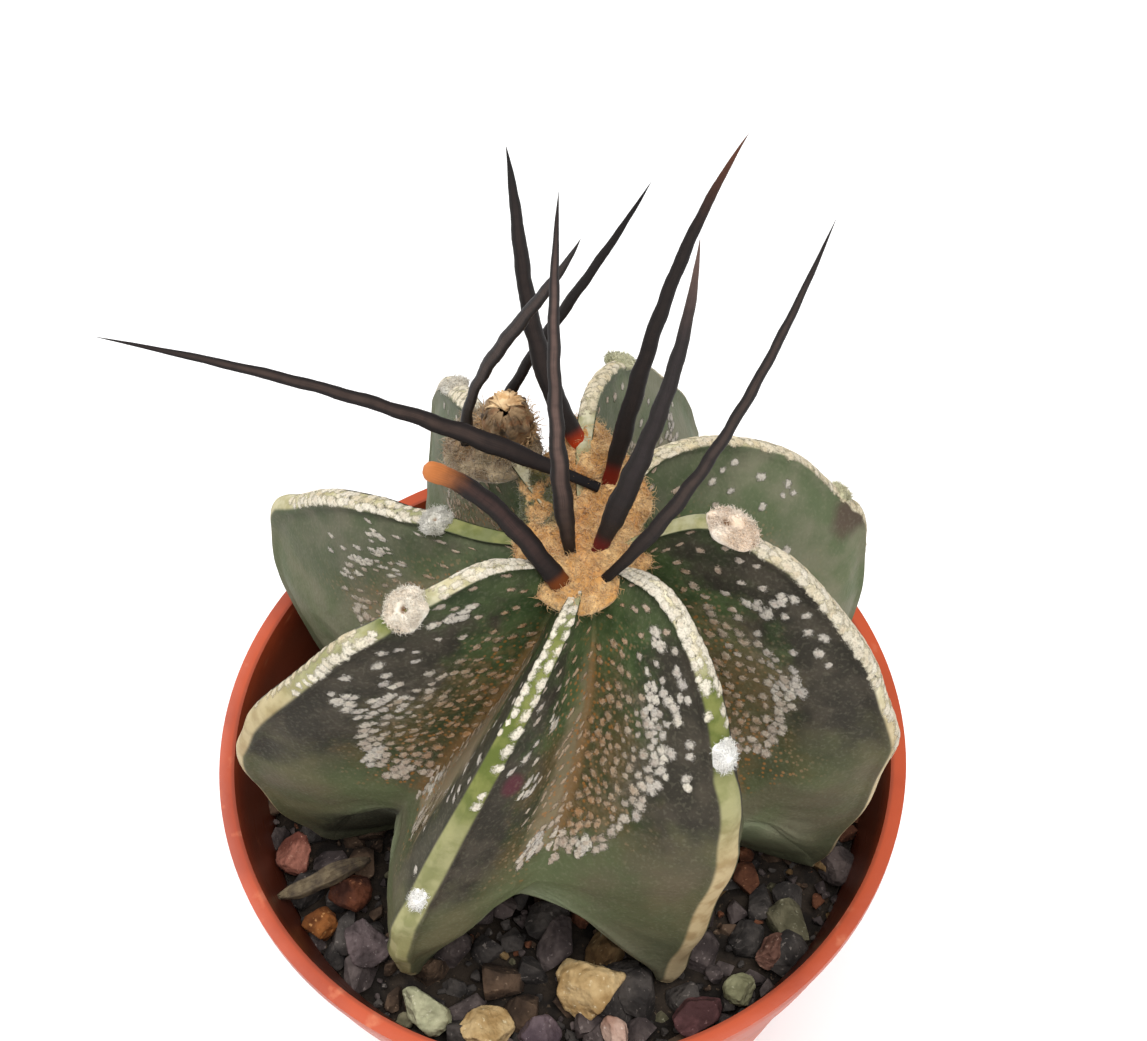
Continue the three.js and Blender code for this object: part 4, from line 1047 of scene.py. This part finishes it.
tan_wool = felt_finish(
    "tan_wool", (230, 190, 132), (200, 148, 84), (192, 128, 62), over_rim(THIN_PLACE).tolist()
)
# The wool round the flower: brown scurf, made darker still as painted shade
scurfy_shaded_wool = felt_finish("scurfy_shaded_wool", (176, 156, 124), (122, 100, 72), (138, 104, 66))
for number, ((middle, edge), (name, count)) in enumerate(zip(WOOL, WOOL_PIECES)):
    bpy.ops.mesh.primitive_uv_sphere_add(segments=96, ring_count=40, radius=1)
    cushion = fresh(name)
    ball = corners(cushion)
    share = np.clip(np.hypot(ball[:, 0], ball[:, 1]), 0, 1)
    turn = (np.arctan2(ball[:, 1], ball[:, 0]) / (2 * math.pi)) % 1
    move_corners(cushion, wool_point(middle, edge, turn, share, ball[:, 2] >= -1e-6))
    smoothed(cushion)
    finish = scurfy_shaded_wool if name == "flower_wool" else tan_wool
    seat(cushion, finish, "crown_wool", "crown_wool_and_spines")
    luck = np.random.default_rng(80 + number)
    turn, share = luck.uniform(0, 1, count), np.sqrt(luck.uniform(0, 1.0, count))
    roots = wool_point(middle, edge, turn, share) - [0, 0, WOOL_HAIRS_SUNK]
    ways = unit(roots - over_rim(np.array(middle))) * 0.7 * share[:, None] ** 2
    ways = unit(ways + [0, 0, 0.75] + 0.55 * luck.normal(size=(count, 3)))
    lengths = luck.uniform(*WOOL_HAIR_LENGTHS, count) * MM
    fuzz = hairs(cushion.name + "_hairs", roots, ways, lengths, WOOL_HAIR_WIDTH, 1.0, 90 + number)
    seat(fuzz, finish, "crown_wool", "crown_wool_and_spines")


# The spines
# Nine long horn spines rooted in the wool: flattened, shallowly grooved, with slightly wavy edges,
# nearly black with brown faces, a few of them red where they leave the wool. One is snapped short.

Spine = namedtuple("Spine", "path width swell foot face tip")
DARK = (30, 24, 23)
RED = (176, 54, 14)
WINE = (96, 22, 26)
BROWN = (68, 54, 48)
GREYED = (104, 82, 74)
BLACK = (22, 19, 20)
# Each spine's curve points, in millimetres over the rim plane, its width, how much wider its lower
# third is, and the colours of its foot, its face and its tip.
SPINES = {
    "snapped_spine": Spine(
        [(0.7, -3.0, 27.0), (-1.4, -2.2, 31.2), (-3.6, -0.8, 35.6), (-7.3, -1.5, 38.3)],
        1.45, 0.0, (110, 56, 24), (62, 44, 40), (186, 112, 60)),
    "front_spine": Spine(
        [(1.5, -0.9, 27.0), (0.8, -1.4, 37.8), (0.8, -1.1, 49.0), (1.8, -0.7, 60.5)],
        1.05, 0.3, BLACK, GREYED, DARK),
    "bowed_spine": Spine(
        [(-5.3, 8.2, 28.2), (-5.7, 6.5, 37.6), (0.6, 4.0, 46.2), (2.9, 1.5, 54.7)],
        1.15, -0.35, DARK, BROWN, DARK),
    "reaching_spine": Spine(
        [(2.4, 3.6, 29.5), (-6.8, 4.7, 35.5), (-13.5, 4.1, 40.5), (-26.1, 2.9, 47.0)],
        1.05, 0.35, BLACK, BROWN, DARK),
    "slender_spine": Spine(
        [(-3.4, 10.2, 27.9), (-0.6, 9.9, 36.3), (3.6, 9.3, 42.9), (7.4, 10.1, 50.5)],
        0.9, -0.1, DARK, DARK, BLACK),
    "rear_spine": Spine(
        [(4.3, 3.8, 28.8), (6.3, 4.8, 38.2), (8.3, 7.1, 47.6), (12.6, 7.3, 56.5)],
        1.15, 0.15, (110, 26, 14), (42, 34, 31), (96, 58, 42)),
    "right_spine": Spine(
        [(3.3, -0.8, 27.2), (5.9, -0.7, 36.9), (8.7, -1.6, 45.9), (9.2, -0.5, 56.5)],
        1.3, 0.25, WINE, (46, 38, 38), GREYED),
    "far_right_spine": Spine(
        [(3.6, -2.9, 27.0), (9.7, -4.0, 37.7), (13.0, -3.9, 49.0), (15.7, -3.5, 60.5)],
        0.85, 0.25, BLACK, BROWN, DARK),
    "red_footed_spine": Spine(
        [(2.7, 5.7, 30.1), (-1.3, 7.3, 38.6), (-0.4, 8.5, 47.2), (-1.1, 8.8, 55.0)],
        1.3, 0.15, RED, (50, 40, 37), BLACK),
}
SPINE_ROWS = 72
SPINE_SIDES = 14
SPINE_THICKNESS = 0.62
SPINE_ROOT = 1.4
TIP_SPAN = (0.84, 1.1)
FLAT_SIDE = np.array([0, -0.57, 0.82])


def sliced(piece, axis, slices, start=0.0):
    """Cuts a primitive across an axis into equal slices, one unit in all, that stay joined."""
    only(piece)
    bpy.ops.object.mode_set(mode="EDIT")
    normal = [float(axis == i) for i in range(3)]
    for k in range(1, slices):
        bpy.ops.mesh.select_all(action="SELECT")
        bpy.ops.mesh.bisect(plane_co=[(k / slices + start) * part for part in normal], plane_no=normal)
    bpy.ops.object.mode_set(mode="OBJECT")


def sliced_rod(name, sides, slices, ends):
    """A rod of radius 1 that stands from 0 to 1, in slices."""
    bpy.ops.mesh.primitive_cylinder_add(
        vertices=sides, radius=1, depth=1, location=(0, 0, 0.5), end_fill_type=ends
    )
    rod = only(fresh(name))
    bpy.ops.object.transform_apply(location=True, rotation=True, scale=True)
    sliced(rod, 2, slices)
    return rod


def spine_finish(name, spine):
    """Horn: dark edges, a duller brown face, faint rings of growth, and its own foot and tip."""
    material, shader, place = new_finish(name, 0.5, 0.2)
    along, groove = attribute_of(shader, "along"), attribute_of(shader, "groove")
    grain = fed("ShaderNodeCombineXYZ", {"X": times(groove, 3.0), "Y": along}).outputs[0]
    streaks = mixed(0.55, noise(place, 900, 6.0), noise(grain, 6.0, 5.0))
    face = times(spread(groove, 0.2, 0.8), spread(streaks, 0.3, 0.56, 0.35, 1.0))
    face = times(face, spread(along, 0.08, 0.4, 0.2, 1.0))
    body = mixed(face, DARK, spine.face)
    down_it = fed("ShaderNodeCombineXYZ", {"X": along}).outputs[0]
    inputs = {"Vector": down_it, "Scale": 7.0, "Distortion": 9.0, "Detail": 4.0}
    rings = fed("ShaderNodeTexWave", inputs).outputs["Fac"]
    body = mixed(spread(rings, 0.5, 1.0, 0.0, 0.14), body, BLACK)
    body = mixed(spread(along, 0.085, 0.03), body, spine.foot)
    body = mixed(spread(plus(along, times(streaks, 0.2)), *TIP_SPAN), body, spine.tip)
    feed(shader, {"Base Color": body})
    bumped(shader, plus(streaks, times(rings, 0.12)), 0.4, 0.12 * MM)
    return material


for number, (name, spine) in enumerate(SPINES.items()):
    snapped = name == "snapped_spine"
    p0, p1, p2, p3 = (np.array(p, float) for p in spine.path)
    span = np.linalg.norm(p1 - p0) + np.linalg.norm(p2 - p1) + np.linalg.norm(p3 - p2)
    rod = sliced_rod(name, SPINE_SIDES, SPINE_ROWS, "NGON")
    rough = corners(rod)
    along = way(-SPINE_ROOT / span, 1.0, rough[:, 2])
    t = np.clip(along, 0, 1)[:, None]
    curve = (1 - t) ** 3 * p0 + 3 * (1 - t) ** 2 * t * p1 + 3 * (1 - t) * t**2 * p2 + t**3 * p3
    tangent = 3 * ((1 - t) ** 2 * (p1 - p0) + 2 * (1 - t) * t * (p2 - p1) + t**2 * (p3 - p2))
    tangent = unit(tangent)
    curve = curve + tangent * np.minimum(along, 0)[:, None] * span
    across = unit(np.cross(tangent, FLAT_SIDE))
    facing = np.cross(across, tangent)
    t = t[:, 0]
    taper = 1 - 0.15 * t if snapped else (1 - 0.35 * t) * (1 - t**6) + 0.05 * (1 - t)
    mm_along = t * span
    waves = 1 + 0.05 * np.sin(1.9 * mm_along + number) * np.sin(0.7 * mm_along + 2 * number)
    waves += 0.02 * np.sin(5.7 * mm_along + 3 * number + 2 * np.sin(mm_along))
    half = spine.width / 2 * taper * waves * (1 + spine.swell * np.exp(-(((t - 0.22) / 0.18) ** 2)))
    half = half * way(1 - 1.1 * max(spine.swell, 0), 1, eased(t, 0, 0.18))
    if snapped:
        half = half * (1 + 0.1 * np.exp(-(((t - 0.95) / 0.05) ** 2)))
        half = half * np.sqrt(1 - 0.8 * np.clip((t - 0.955) / 0.045, 0, 1) ** 2)
    sway = 0.07 * np.sin(1.7 * mm_along + 1.3 * number) * np.minimum(1, 3 * t) * (1 - t)
    angle = np.arctan2(rough[:, 1], rough[:, 0])
    solid_here = np.hypot(rough[:, 0], rough[:, 1])
    groove = np.exp(-((np.cos(angle) / 0.5) ** 2))
    half = half * solid_here
    thin = SPINE_THICKNESS * (1 - 0.22 * groove)
    curve = curve + across * (half * np.cos(angle) + sway)[:, None]
    curve = curve + facing * (half * thin * np.sin(angle))[:, None]
    move_corners(rod, over_rim(curve))
    mark(rod, along=along, groove=groove)
    if snapped:
        bevelled(rod, 0.15 * MM, 4, 50)
    smoothed(rod, 55)
    seat(rod, spine_finish(name + "_horn", spine), "crown_wool", "crown_wool_and_spines")


# The dried flower
# The withered remains of a flower beside the crown: a short wrinkled papery tube, open towards the
# front, with the curled stubs of its petals folded over the mouth and brown scurf round its foot.

FLOWER_AT = np.array([-2.4, 8.3, 29.0])
FLOWER_TIP = math.radians(18)
FLOWER_HEIGHT = 4.8
FLOWER_RADIUS = 1.7
FLOWER_PETALS = 14
FLOWER_SCURF = 420
SCURF_WIDTH = 0.06 * MM
TUBE_WALL = 0.16 * MM
PETAL_WIDTH, PETAL_LENGTH, PETAL_CURL = 0.4, 1.3, 1.5
PETAL_THICKNESS = 0.09 * MM


def flower_place(x, y, z):
    """Tips points over towards the front and sets them at the flower's foot, in metres."""
    c, s = math.cos(FLOWER_TIP), math.sin(FLOWER_TIP)
    return over_rim(np.stack([x, c * y - s * z, s * y + c * z], 1) + FLOWER_AT)


tube = sliced_rod("dried_flower_tube", 64, 24, "NOTHING")
rough = corners(tube)
angle, up = np.arctan2(rough[:, 1], rough[:, 0]), rough[:, 2]
swell = np.interp(up, [0, 0.32, 0.72, 1.0], [0.62, 1.0, 0.96, 0.7])
creases = 1 + 0.09 * np.sin(9 * angle + 2 * up) + 0.05 * np.sin(17 * angle - 5 * up)
creases = creases + 0.05 * np.sin(14 * up + 3 * angle)
ragged = 1 + 0.09 * np.sin(5 * angle + 1) + 0.06 * np.sin(11 * angle)
tall = FLOWER_HEIGHT * up * np.where(up > 0.8, ragged, 1)
radius = FLOWER_RADIUS * swell * creases
move_corners(tube, flower_place(radius * np.cos(angle), radius * np.sin(angle), tall))
apply_modifier(tube, "SOLIDIFY", thickness=TUBE_WALL, offset=-1)
apply_modifier(tube, "SUBSURF", levels=1, render_levels=1)
smoothed(tube)


def papery_finish(name, light, dark, rust):
    material, shader, place = new_finish(name, 0.85)
    base = mottled(place, 700, 0.36, 0.62, light, dark)
    feed(shader, {"Base Color": mixed(patches(place, 1500, 0.5, 0.66), base, rust)})
    bumped(shader, noise(place, 3200, 6.0), 0.8, 0.2 * MM)
    return material


brown_paper = papery_finish("withered_brown", (150, 122, 88), (84, 68, 52), (128, 90, 58))
tan_paper = papery_finish("withered_tan", (232, 200, 154), (176, 136, 92), (206, 162, 110))
seat(tube, brown_paper, "dried_flower", "dried_flower")

luck = np.random.default_rng(7)
for k in range(FLOWER_PETALS):
    turn = 2 * math.pi * (k + luck.uniform(-0.2, 0.2)) / FLOWER_PETALS
    rear = max(0.0, math.sin(turn))
    bpy.ops.mesh.primitive_grid_add(x_subdivisions=6, y_subdivisions=14, size=2)
    petal = fresh(f"dried_petal_{k:02d}")
    flat = corners(petal)
    along = (flat[:, 1] + 1) / 2
    wide = (PETAL_WIDTH + 0.14 * rear) * (1 - 0.6 * along**2) * flat[:, 0]
    curl = (PETAL_CURL + 0.6 * rear + luck.uniform(-0.3, 0.3)) * along
    length = (PETAL_LENGTH + 0.9 * rear + luck.uniform(-0.3, 0.3)) / max(curl.max(), 0.1)
    ruffle = 0.12 * (flat[:, 0] ** 2) + 0.05 * np.sin(9 * along + 4 * flat[:, 0])
    radius = 0.74 * FLOWER_RADIUS - length * (1 - np.cos(curl)) + ruffle
    height = 0.9 * FLOWER_HEIGHT + length * np.sin(curl)
    x = radius * math.cos(turn) - wide * math.sin(turn)
    y = radius * math.sin(turn) + wide * math.cos(turn)
    move_corners(petal, flower_place(x, y, height))
    apply_modifier(petal, "SOLIDIFY", thickness=PETAL_THICKNESS, offset=0)
    smoothed(petal)
    seat(petal, tan_paper if rear > 0.2 else brown_paper, "dried_flower", "dried_flower")

turn = luck.uniform(0, 2 * math.pi, FLOWER_SCURF)
lift = luck.uniform(0, 0.55, FLOWER_SCURF) ** 1.4
radius = FLOWER_RADIUS * (0.7 + 0.3 * np.minimum(1, lift * 3)) * 1.02
roots = flower_place(radius * np.cos(turn), radius * np.sin(turn), FLOWER_HEIGHT * lift)
ways = np.stack([np.cos(turn), np.sin(turn), luck.uniform(-0.2, 0.9, FLOWER_SCURF)], 1)
ways = unit(ways + 0.3 * luck.normal(size=(FLOWER_SCURF, 3)))
lengths = luck.uniform(0.4, 1.3, FLOWER_SCURF) * MM
scurf = hairs("dried_flower_scurf", roots, ways, lengths, SCURF_WIDTH, 0.8, 9)
seat(scurf, tan_paper, "dried_flower", "dried_flower")


# The grit
# A top dressing of crushed lava and gravel, up to 5 mm across with finer grains between, mostly
# charcoal and plum grey with some rust, ochre and olive. The pieces are angular and lie as they fell.

BED = 8.1  # how far the bed lies below the rim plane, in millimetres, as all the sizes here are
GRIT_COUNT = 108
GRIT_INNER, GRIT_OUTER = 13.0, 23.6
GRIT_SMALL, GRIT_LARGE = 1.4, 2.2
FILL_TRIES = 5200
FILL_INNER, FILL_OUTER = 10.0, 24.6
FILL_SMALL, FILL_LARGE = 0.34, 1.2
WALL_REACH = 25.0
GRAIN_SHAPES, GRAIN_CUTS = 7, 11
GRAIN_BULK = 1.25  # the cuts make a grain smaller than its ball, so the ball is made this much larger
GRAIN_NEARNESS = 0.82


def jitter(seed):
    """A number from 0 to 1 that is always the same for the same seed."""
    value = np.sin(np.asarray(seed, float) * 12.9898) * 43758.5453
    return value - np.floor(value)


def crushed(name, cuts, seed):
    """A ball cut by planes from all sides, so that it has broken faces and worn edges."""
    luck = np.random.default_rng(seed)
    bpy.ops.mesh.primitive_ico_sphere_add(subdivisions=2, radius=1)
    stone = fresh(name)
    bpy.ops.object.mode_set(mode="EDIT")
    for _ in range(cuts):
        normal = Vector(luck.normal(size=3)).normalized()
        bpy.ops.mesh.select_all(action="SELECT")
        bpy.ops.mesh.bisect(
            plane_co=normal * luck.uniform(0.42, 0.72), plane_no=normal, use_fill=True, clear_outer=True
        )
    bpy.ops.mesh.select_all(action="SELECT")
    bpy.ops.mesh.remove_doubles(threshold=0.02)
    bpy.ops.mesh.dissolve_limited(angle_limit=math.radians(6))
    bpy.ops.mesh.quads_convert_to_tris()
    bpy.ops.object.mode_set(mode="OBJECT")
    return stone


grain_shapes = []
for k in range(GRAIN_SHAPES):
    shape = crushed(f"grain_shape_{k}", GRAIN_CUTS, 300 + k)
    bevelled(shape, 0.05, 1, 25)
    apply_modifier(shape, "TRIANGULATE")
    faces = np.array([tuple(p.vertices) for p in shape.data.polygons])
    grain_shapes.append((corners(shape), faces))
    bpy.data.objects.remove(shape)


def tumble(seed):
    turn = Matrix.Rotation(6.28 * jitter(seed), 3, "X") @ Matrix.Rotation(6.28 * jitter(seed + 0.5), 3, "Y")
    return np.array(turn @ Matrix.Rotation(6.28 * jitter(seed + 0.9), 3, "Z"))


def lying(radius, angle, height):
    """A place on the bed, from its way round the pot and its height over the bed."""
    return radius * math.sin(angle), -radius * math.cos(angle), height - BED


grains = []  # middle, half size and kind of each grain, the large ones first, as the mix holds them
for i in range(GRIT_COUNT):
    radius = math.sqrt(way(GRIT_INNER**2, GRIT_OUTER**2, (i + 0.5) / GRIT_COUNT))
    angle = i * math.pi * (3 - math.sqrt(5)) + 0.3 * (jitter(i) - 0.5)
    half = way(GRIT_SMALL, GRIT_LARGE, jitter(i + 200))
    grains.append((lying(radius, angle, 0.3 * half - 0.1), half, jitter(i + 900)))
settled = np.array([[*middle, half] for middle, half, _ in grains])
for i in range(FILL_TRIES):
    radius = math.sqrt(way(FILL_INNER**2, FILL_OUTER**2, jitter(i + 1300)))
    half = way(FILL_LARGE, FILL_SMALL, min(1, 2 * i / FILL_TRIES)) * way(0.85, 1.15, jitter(i + 4100))
    middle = lying(radius, 2 * math.pi * jitter(i + 2900), way(-0.5, 0.9, jitter(i + 5300)))
    away = np.linalg.norm(settled[:, :3] - middle, axis=1)
    if (away > GRAIN_NEARNESS * (settled[:, 3] + half)).all():
        grains.append((middle, half, jitter(i + 6100)))
        settled = np.vstack([settled, [*middle, half]])

GRIT_KINDS = [  # name, where its share of the grains ends, and its dark, light and speck colours
    ("charcoal_grit", 0.42, (50, 46, 44), (80, 74, 70), (116, 108, 102)),
    ("plum_grit", 0.64, (64, 55, 54), (98, 87, 84), (128, 116, 112)),
    ("umber_grit", 0.84, (62, 48, 38), (98, 78, 62), (130, 108, 88)),
    ("rust_grit", 0.92, (84, 50, 34), (124, 78, 54), (152, 106, 78)),
    ("ochre_grit", 0.965, (98, 74, 46), (136, 110, 74), (166, 142, 106)),
    ("olive_grit", 1.01, (84, 80, 60), (120, 114, 90), (150, 146, 122)),
]
least = 0.0
for name, most, dark, light, speck in GRIT_KINDS:
    places, faces, total = [], [], 0
    for number, (middle, half, kind) in enumerate(grains):
        if not least <= kind < most:
            continue
        shape, sides = grain_shapes[number % len(grain_shapes)]
        flatter = np.array([1, way(0.7, 1.0, jitter(number + 50)), way(0.65, 0.95, jitter(number + 90))])
        grain = (shape * (GRAIN_BULK * flatter) * half) @ tumble(number + 0.1).T + np.array(middle)
        reach = np.hypot(grain[:, 0], grain[:, 1])
        grain[:, :2] *= (np.minimum(reach, WALL_REACH) / np.maximum(reach, 1e-6))[:, None]
        places.append(over_rim(grain))
        faces.append(sides + total)
        total += len(shape)
    grit = mesh_of(name, np.concatenate(places), np.concatenate(faces).tolist())
    smoothed(grit, 32)
    seat(grit, soil_finish(name + "_stone", dark, light, speck, 0.9), "potting_mix", "potting_mix")
    least = most


# The loose stones
# Thirteen larger stones that stand out from the grit by their colour: cream, pale green, plum,
# pink and brown. Each is a broken pebble with worn edges and a rough, faintly mottled skin.

Stone = namedtuple("Stone", "at size turn dark light speck slot")
CREAM_STONE = ((180, 146, 96), (214, 184, 134), (232, 212, 170))
GREEN_STONE = ((142, 142, 112), (184, 182, 148), (212, 208, 180))
PLUM_STONE = ((74, 46, 46), (112, 74, 74), (140, 106, 104))
STONES = {
    "cream_stone_large": Stone((1.5, -18.5, -6.3), (2.8, 2.6, 2.0), 12, *CREAM_STONE, "cream_stone"),
    "cream_stone_small": Stone((-6.6, -21.4, -6.6), (2.0, 1.9, 1.6), 40, *CREAM_STONE, "cream_stone"),
    "pale_green_stone": Stone((-11.5, -19.9, -6.5), (2.3, 1.5, 1.6), -30, *GREEN_STONE, "green_stone"),
    "plum_stone_large": Stone((9.4, -21.1, -6.6), (2.1, 1.5, 1.6), 25, *PLUM_STONE, "plum_stone"),
    "plum_stone_small": Stone(
        (-2.6, -22.0, -6.7), (1.7, 1.4, 1.4), -15,
        (80, 66, 72), (112, 96, 100), (144, 130, 132), "plum_stone"),
    "pink_stone": Stone(
        (3.2, -22.4, -6.4), (1.0, 1.5, 1.2), 35,
        (176, 138, 120), (214, 182, 164), (232, 210, 196), "pink_stone"),
    "rose_stone": Stone(
        (-22.2, -6.6, -6.4), (1.5, 1.8, 1.5), 10,
        (104, 58, 46), (150, 96, 80), (174, 128, 110), "brown_stone"),
    "brown_stone": Stone(
        (16.0, -16.5, -6.6), (1.5, 1.3, 1.3), 50,
        (88, 58, 48), (128, 92, 78), (152, 120, 104), "brown_stone"),
    "sage_stone": Stone(
        (12.9, -19.4, -6.7), (1.3, 1.2, 1.2), 5,
        (112, 110, 80), (150, 148, 114), (180, 178, 148), "green_stone"),
    "grey_stone_front": Stone(
        (-16.2, -14.5, -6.4), (2.0, 1.7, 1.5), -40,
        (66, 56, 56), (104, 90, 90), (140, 128, 126), "grey_stone"),
    "grey_stone_right": Stone(
        (21.6, -9.4, -6.9), (1.6, 1.5, 1.3), 70,
        (60, 52, 50), (96, 84, 80), (132, 120, 114), "grey_stone"),
    "lava_stone": Stone(
        (-17.4, -10.2, -6.2), (1.8, 1.6, 1.6), 20,
        (56, 28, 18), (98, 54, 34), (130, 84, 58), "lava_stone"),
    "rust_stone": Stone(
        (-19.8, -12.4, -6.8), (1.2, 1.4, 1.2), -60,
        (92, 50, 20), (150, 92, 44), (178, 128, 78), "lava_stone"),
}
STONE_CUTS = 7
STONE_VOXEL = 0.05
PIT_DEPTH = 0.16
pitting = cloud_texture("pitting", 0.45, 4)
for number, (name, stone) in enumerate(STONES.items()):
    pebble = crushed(name + "_broken", STONE_CUTS, 500 + number)
    apply_modifier(pebble, "REMESH", mode="VOXEL", voxel_size=STONE_VOXEL)
    apply_modifier(pebble, "SMOOTH", factor=0.7, iterations=2)
    roughened(pebble, pitting, PIT_DEPTH, 0.5)
    shape = corners(pebble)
    shape /= (shape.max(0) - shape.min(0)) / 2
    shape -= (shape.max(0) + shape.min(0)) / 2
    turned = np.array(Matrix.Rotation(math.radians(stone.turn), 3, "Z"))
    move_corners(pebble, over_rim((shape * stone.size) @ turned.T + stone.at))
    seat(pebble, soil_finish(name + "_skin", stone.dark, stone.light, stone.speck, 0.85), stone.slot, name)


# The bark chip
# A splinter of weathered bark that lies on the grit beside the stem: long, thin and cupped, with
# frayed ends and a fibrous grain along it.

BARK_AT = (-19.3, -9.6, -4.4)
BARK_LENGTH, BARK_WIDTH, BARK_THICKNESS = 7.5, 1.3, 0.9
BARK_TURN = math.radians(22)

bpy.ops.mesh.primitive_cube_add(size=1)
bark = fresh("bark_splinter")
for axis, slices in enumerate((60, 14, 5)):
    sliced(bark, axis, slices, -0.5)
along, aside, up = (corners(bark) * 2).T
ends = 1 - 0.7 * np.abs(along) ** 3
fibre = 0.1 * np.sin(13 * aside + 2 * np.sin(3 * along)) + 0.05 * np.sin(31 * aside + 5 * along)
x = along * BARK_LENGTH / 2 * (1 + 0.05 * np.sin(9 * aside))
y = aside * BARK_WIDTH / 2 * ends * (1 + 0.08 * np.sin(7 * along))
z = up * BARK_THICKNESS / 2 * ends + fibre * np.sign(up) * 0.5
z = z + 0.2 * np.sin(along * BARK_LENGTH / 2 * 0.9) + 0.12 * aside**2
c, s = math.cos(BARK_TURN), math.sin(BARK_TURN)
move_corners(bark, over_rim(np.stack([c * x - s * y, s * x + c * y, z], 1) + BARK_AT))
smoothed(bark)
weathered_bark = papery_finish("weathered_bark", (112, 98, 74), (62, 50, 38), (84, 70, 50))
seat(bark, weathered_bark, "bark", "bark_chip")


# Floor, light and camera
# A plain pale floor under soft white light from all round, with the camera looking down on the
# plant from the front, as close as it was held.

bpy.ops.mesh.primitive_plane_add(size=3)
floor = fresh("floor")
floor_finish, shader, _ = new_finish("pale_floor", 0.9)
feed(shader, {
    "Base Color": (0.93, 0.93, 0.93, 1), "Emission Color": (1, 1, 1, 1), "Emission Strength": 0.12,
})
floor.data.materials.append(floor_finish)

world = bpy.data.worlds.new("studio")
bpy.context.scene.world = world
world.use_nodes = True
feed(world.node_tree.nodes["Background"], {"Color": (1, 1, 1, 1), "Strength": 0.55})

AIM = Vector((0, 0, 0.06))
for name, place, size, power in (
    ("window", (-0.45, 0.3, 0.75), 0.4, 3.6),
    ("overhead", (0.12, -0.2, 0.9), 0.5, 5.4),
    ("front_fill", (0.3, -0.8, 0.5), 0.4, 1.2),
):
    bpy.ops.object.light_add(type="AREA", location=place)
    light = bpy.context.active_object
    light.name = name
    light.data.size = size
    light.data.energy = power
    light.rotation_euler = (AIM - Vector(place)).to_track_quat("-Z", "Y").to_euler()

CAMERA_PLACE = Vector((0.00177, -0.06437, 0.17003))
CAMERA_ELEVATION = math.radians(55.05)
CAMERA_ROLL = math.radians(-2.643)
FOCAL_PIXELS, IMAGE_WIDTH = 1700, 1147
bpy.ops.object.camera_add(location=CAMERA_PLACE)
camera = bpy.context.active_object
level_up = Vector((0, math.sin(CAMERA_ELEVATION), math.cos(CAMERA_ELEVATION)))
level_right = Vector((1, 0, 0))
backward = Vector((0, -math.cos(CAMERA_ELEVATION), math.sin(CAMERA_ELEVATION)))
right = math.cos(CAMERA_ROLL) * level_right + math.sin(CAMERA_ROLL) * level_up
up = math.cos(CAMERA_ROLL) * level_up - math.sin(CAMERA_ROLL) * level_right
camera.matrix_world = Matrix.Translation(CAMERA_PLACE) @ Matrix((right, up, backward)).transposed().to_4x4()
camera.data.sensor_fit = "HORIZONTAL"
camera.data.sensor_width = 36
camera.data.lens = FOCAL_PIXELS / IMAGE_WIDTH * 36
camera.data.clip_start = 0.005
bpy.context.scene.camera = camera
bpy.context.scene.view_settings.view_transform = "Standard"
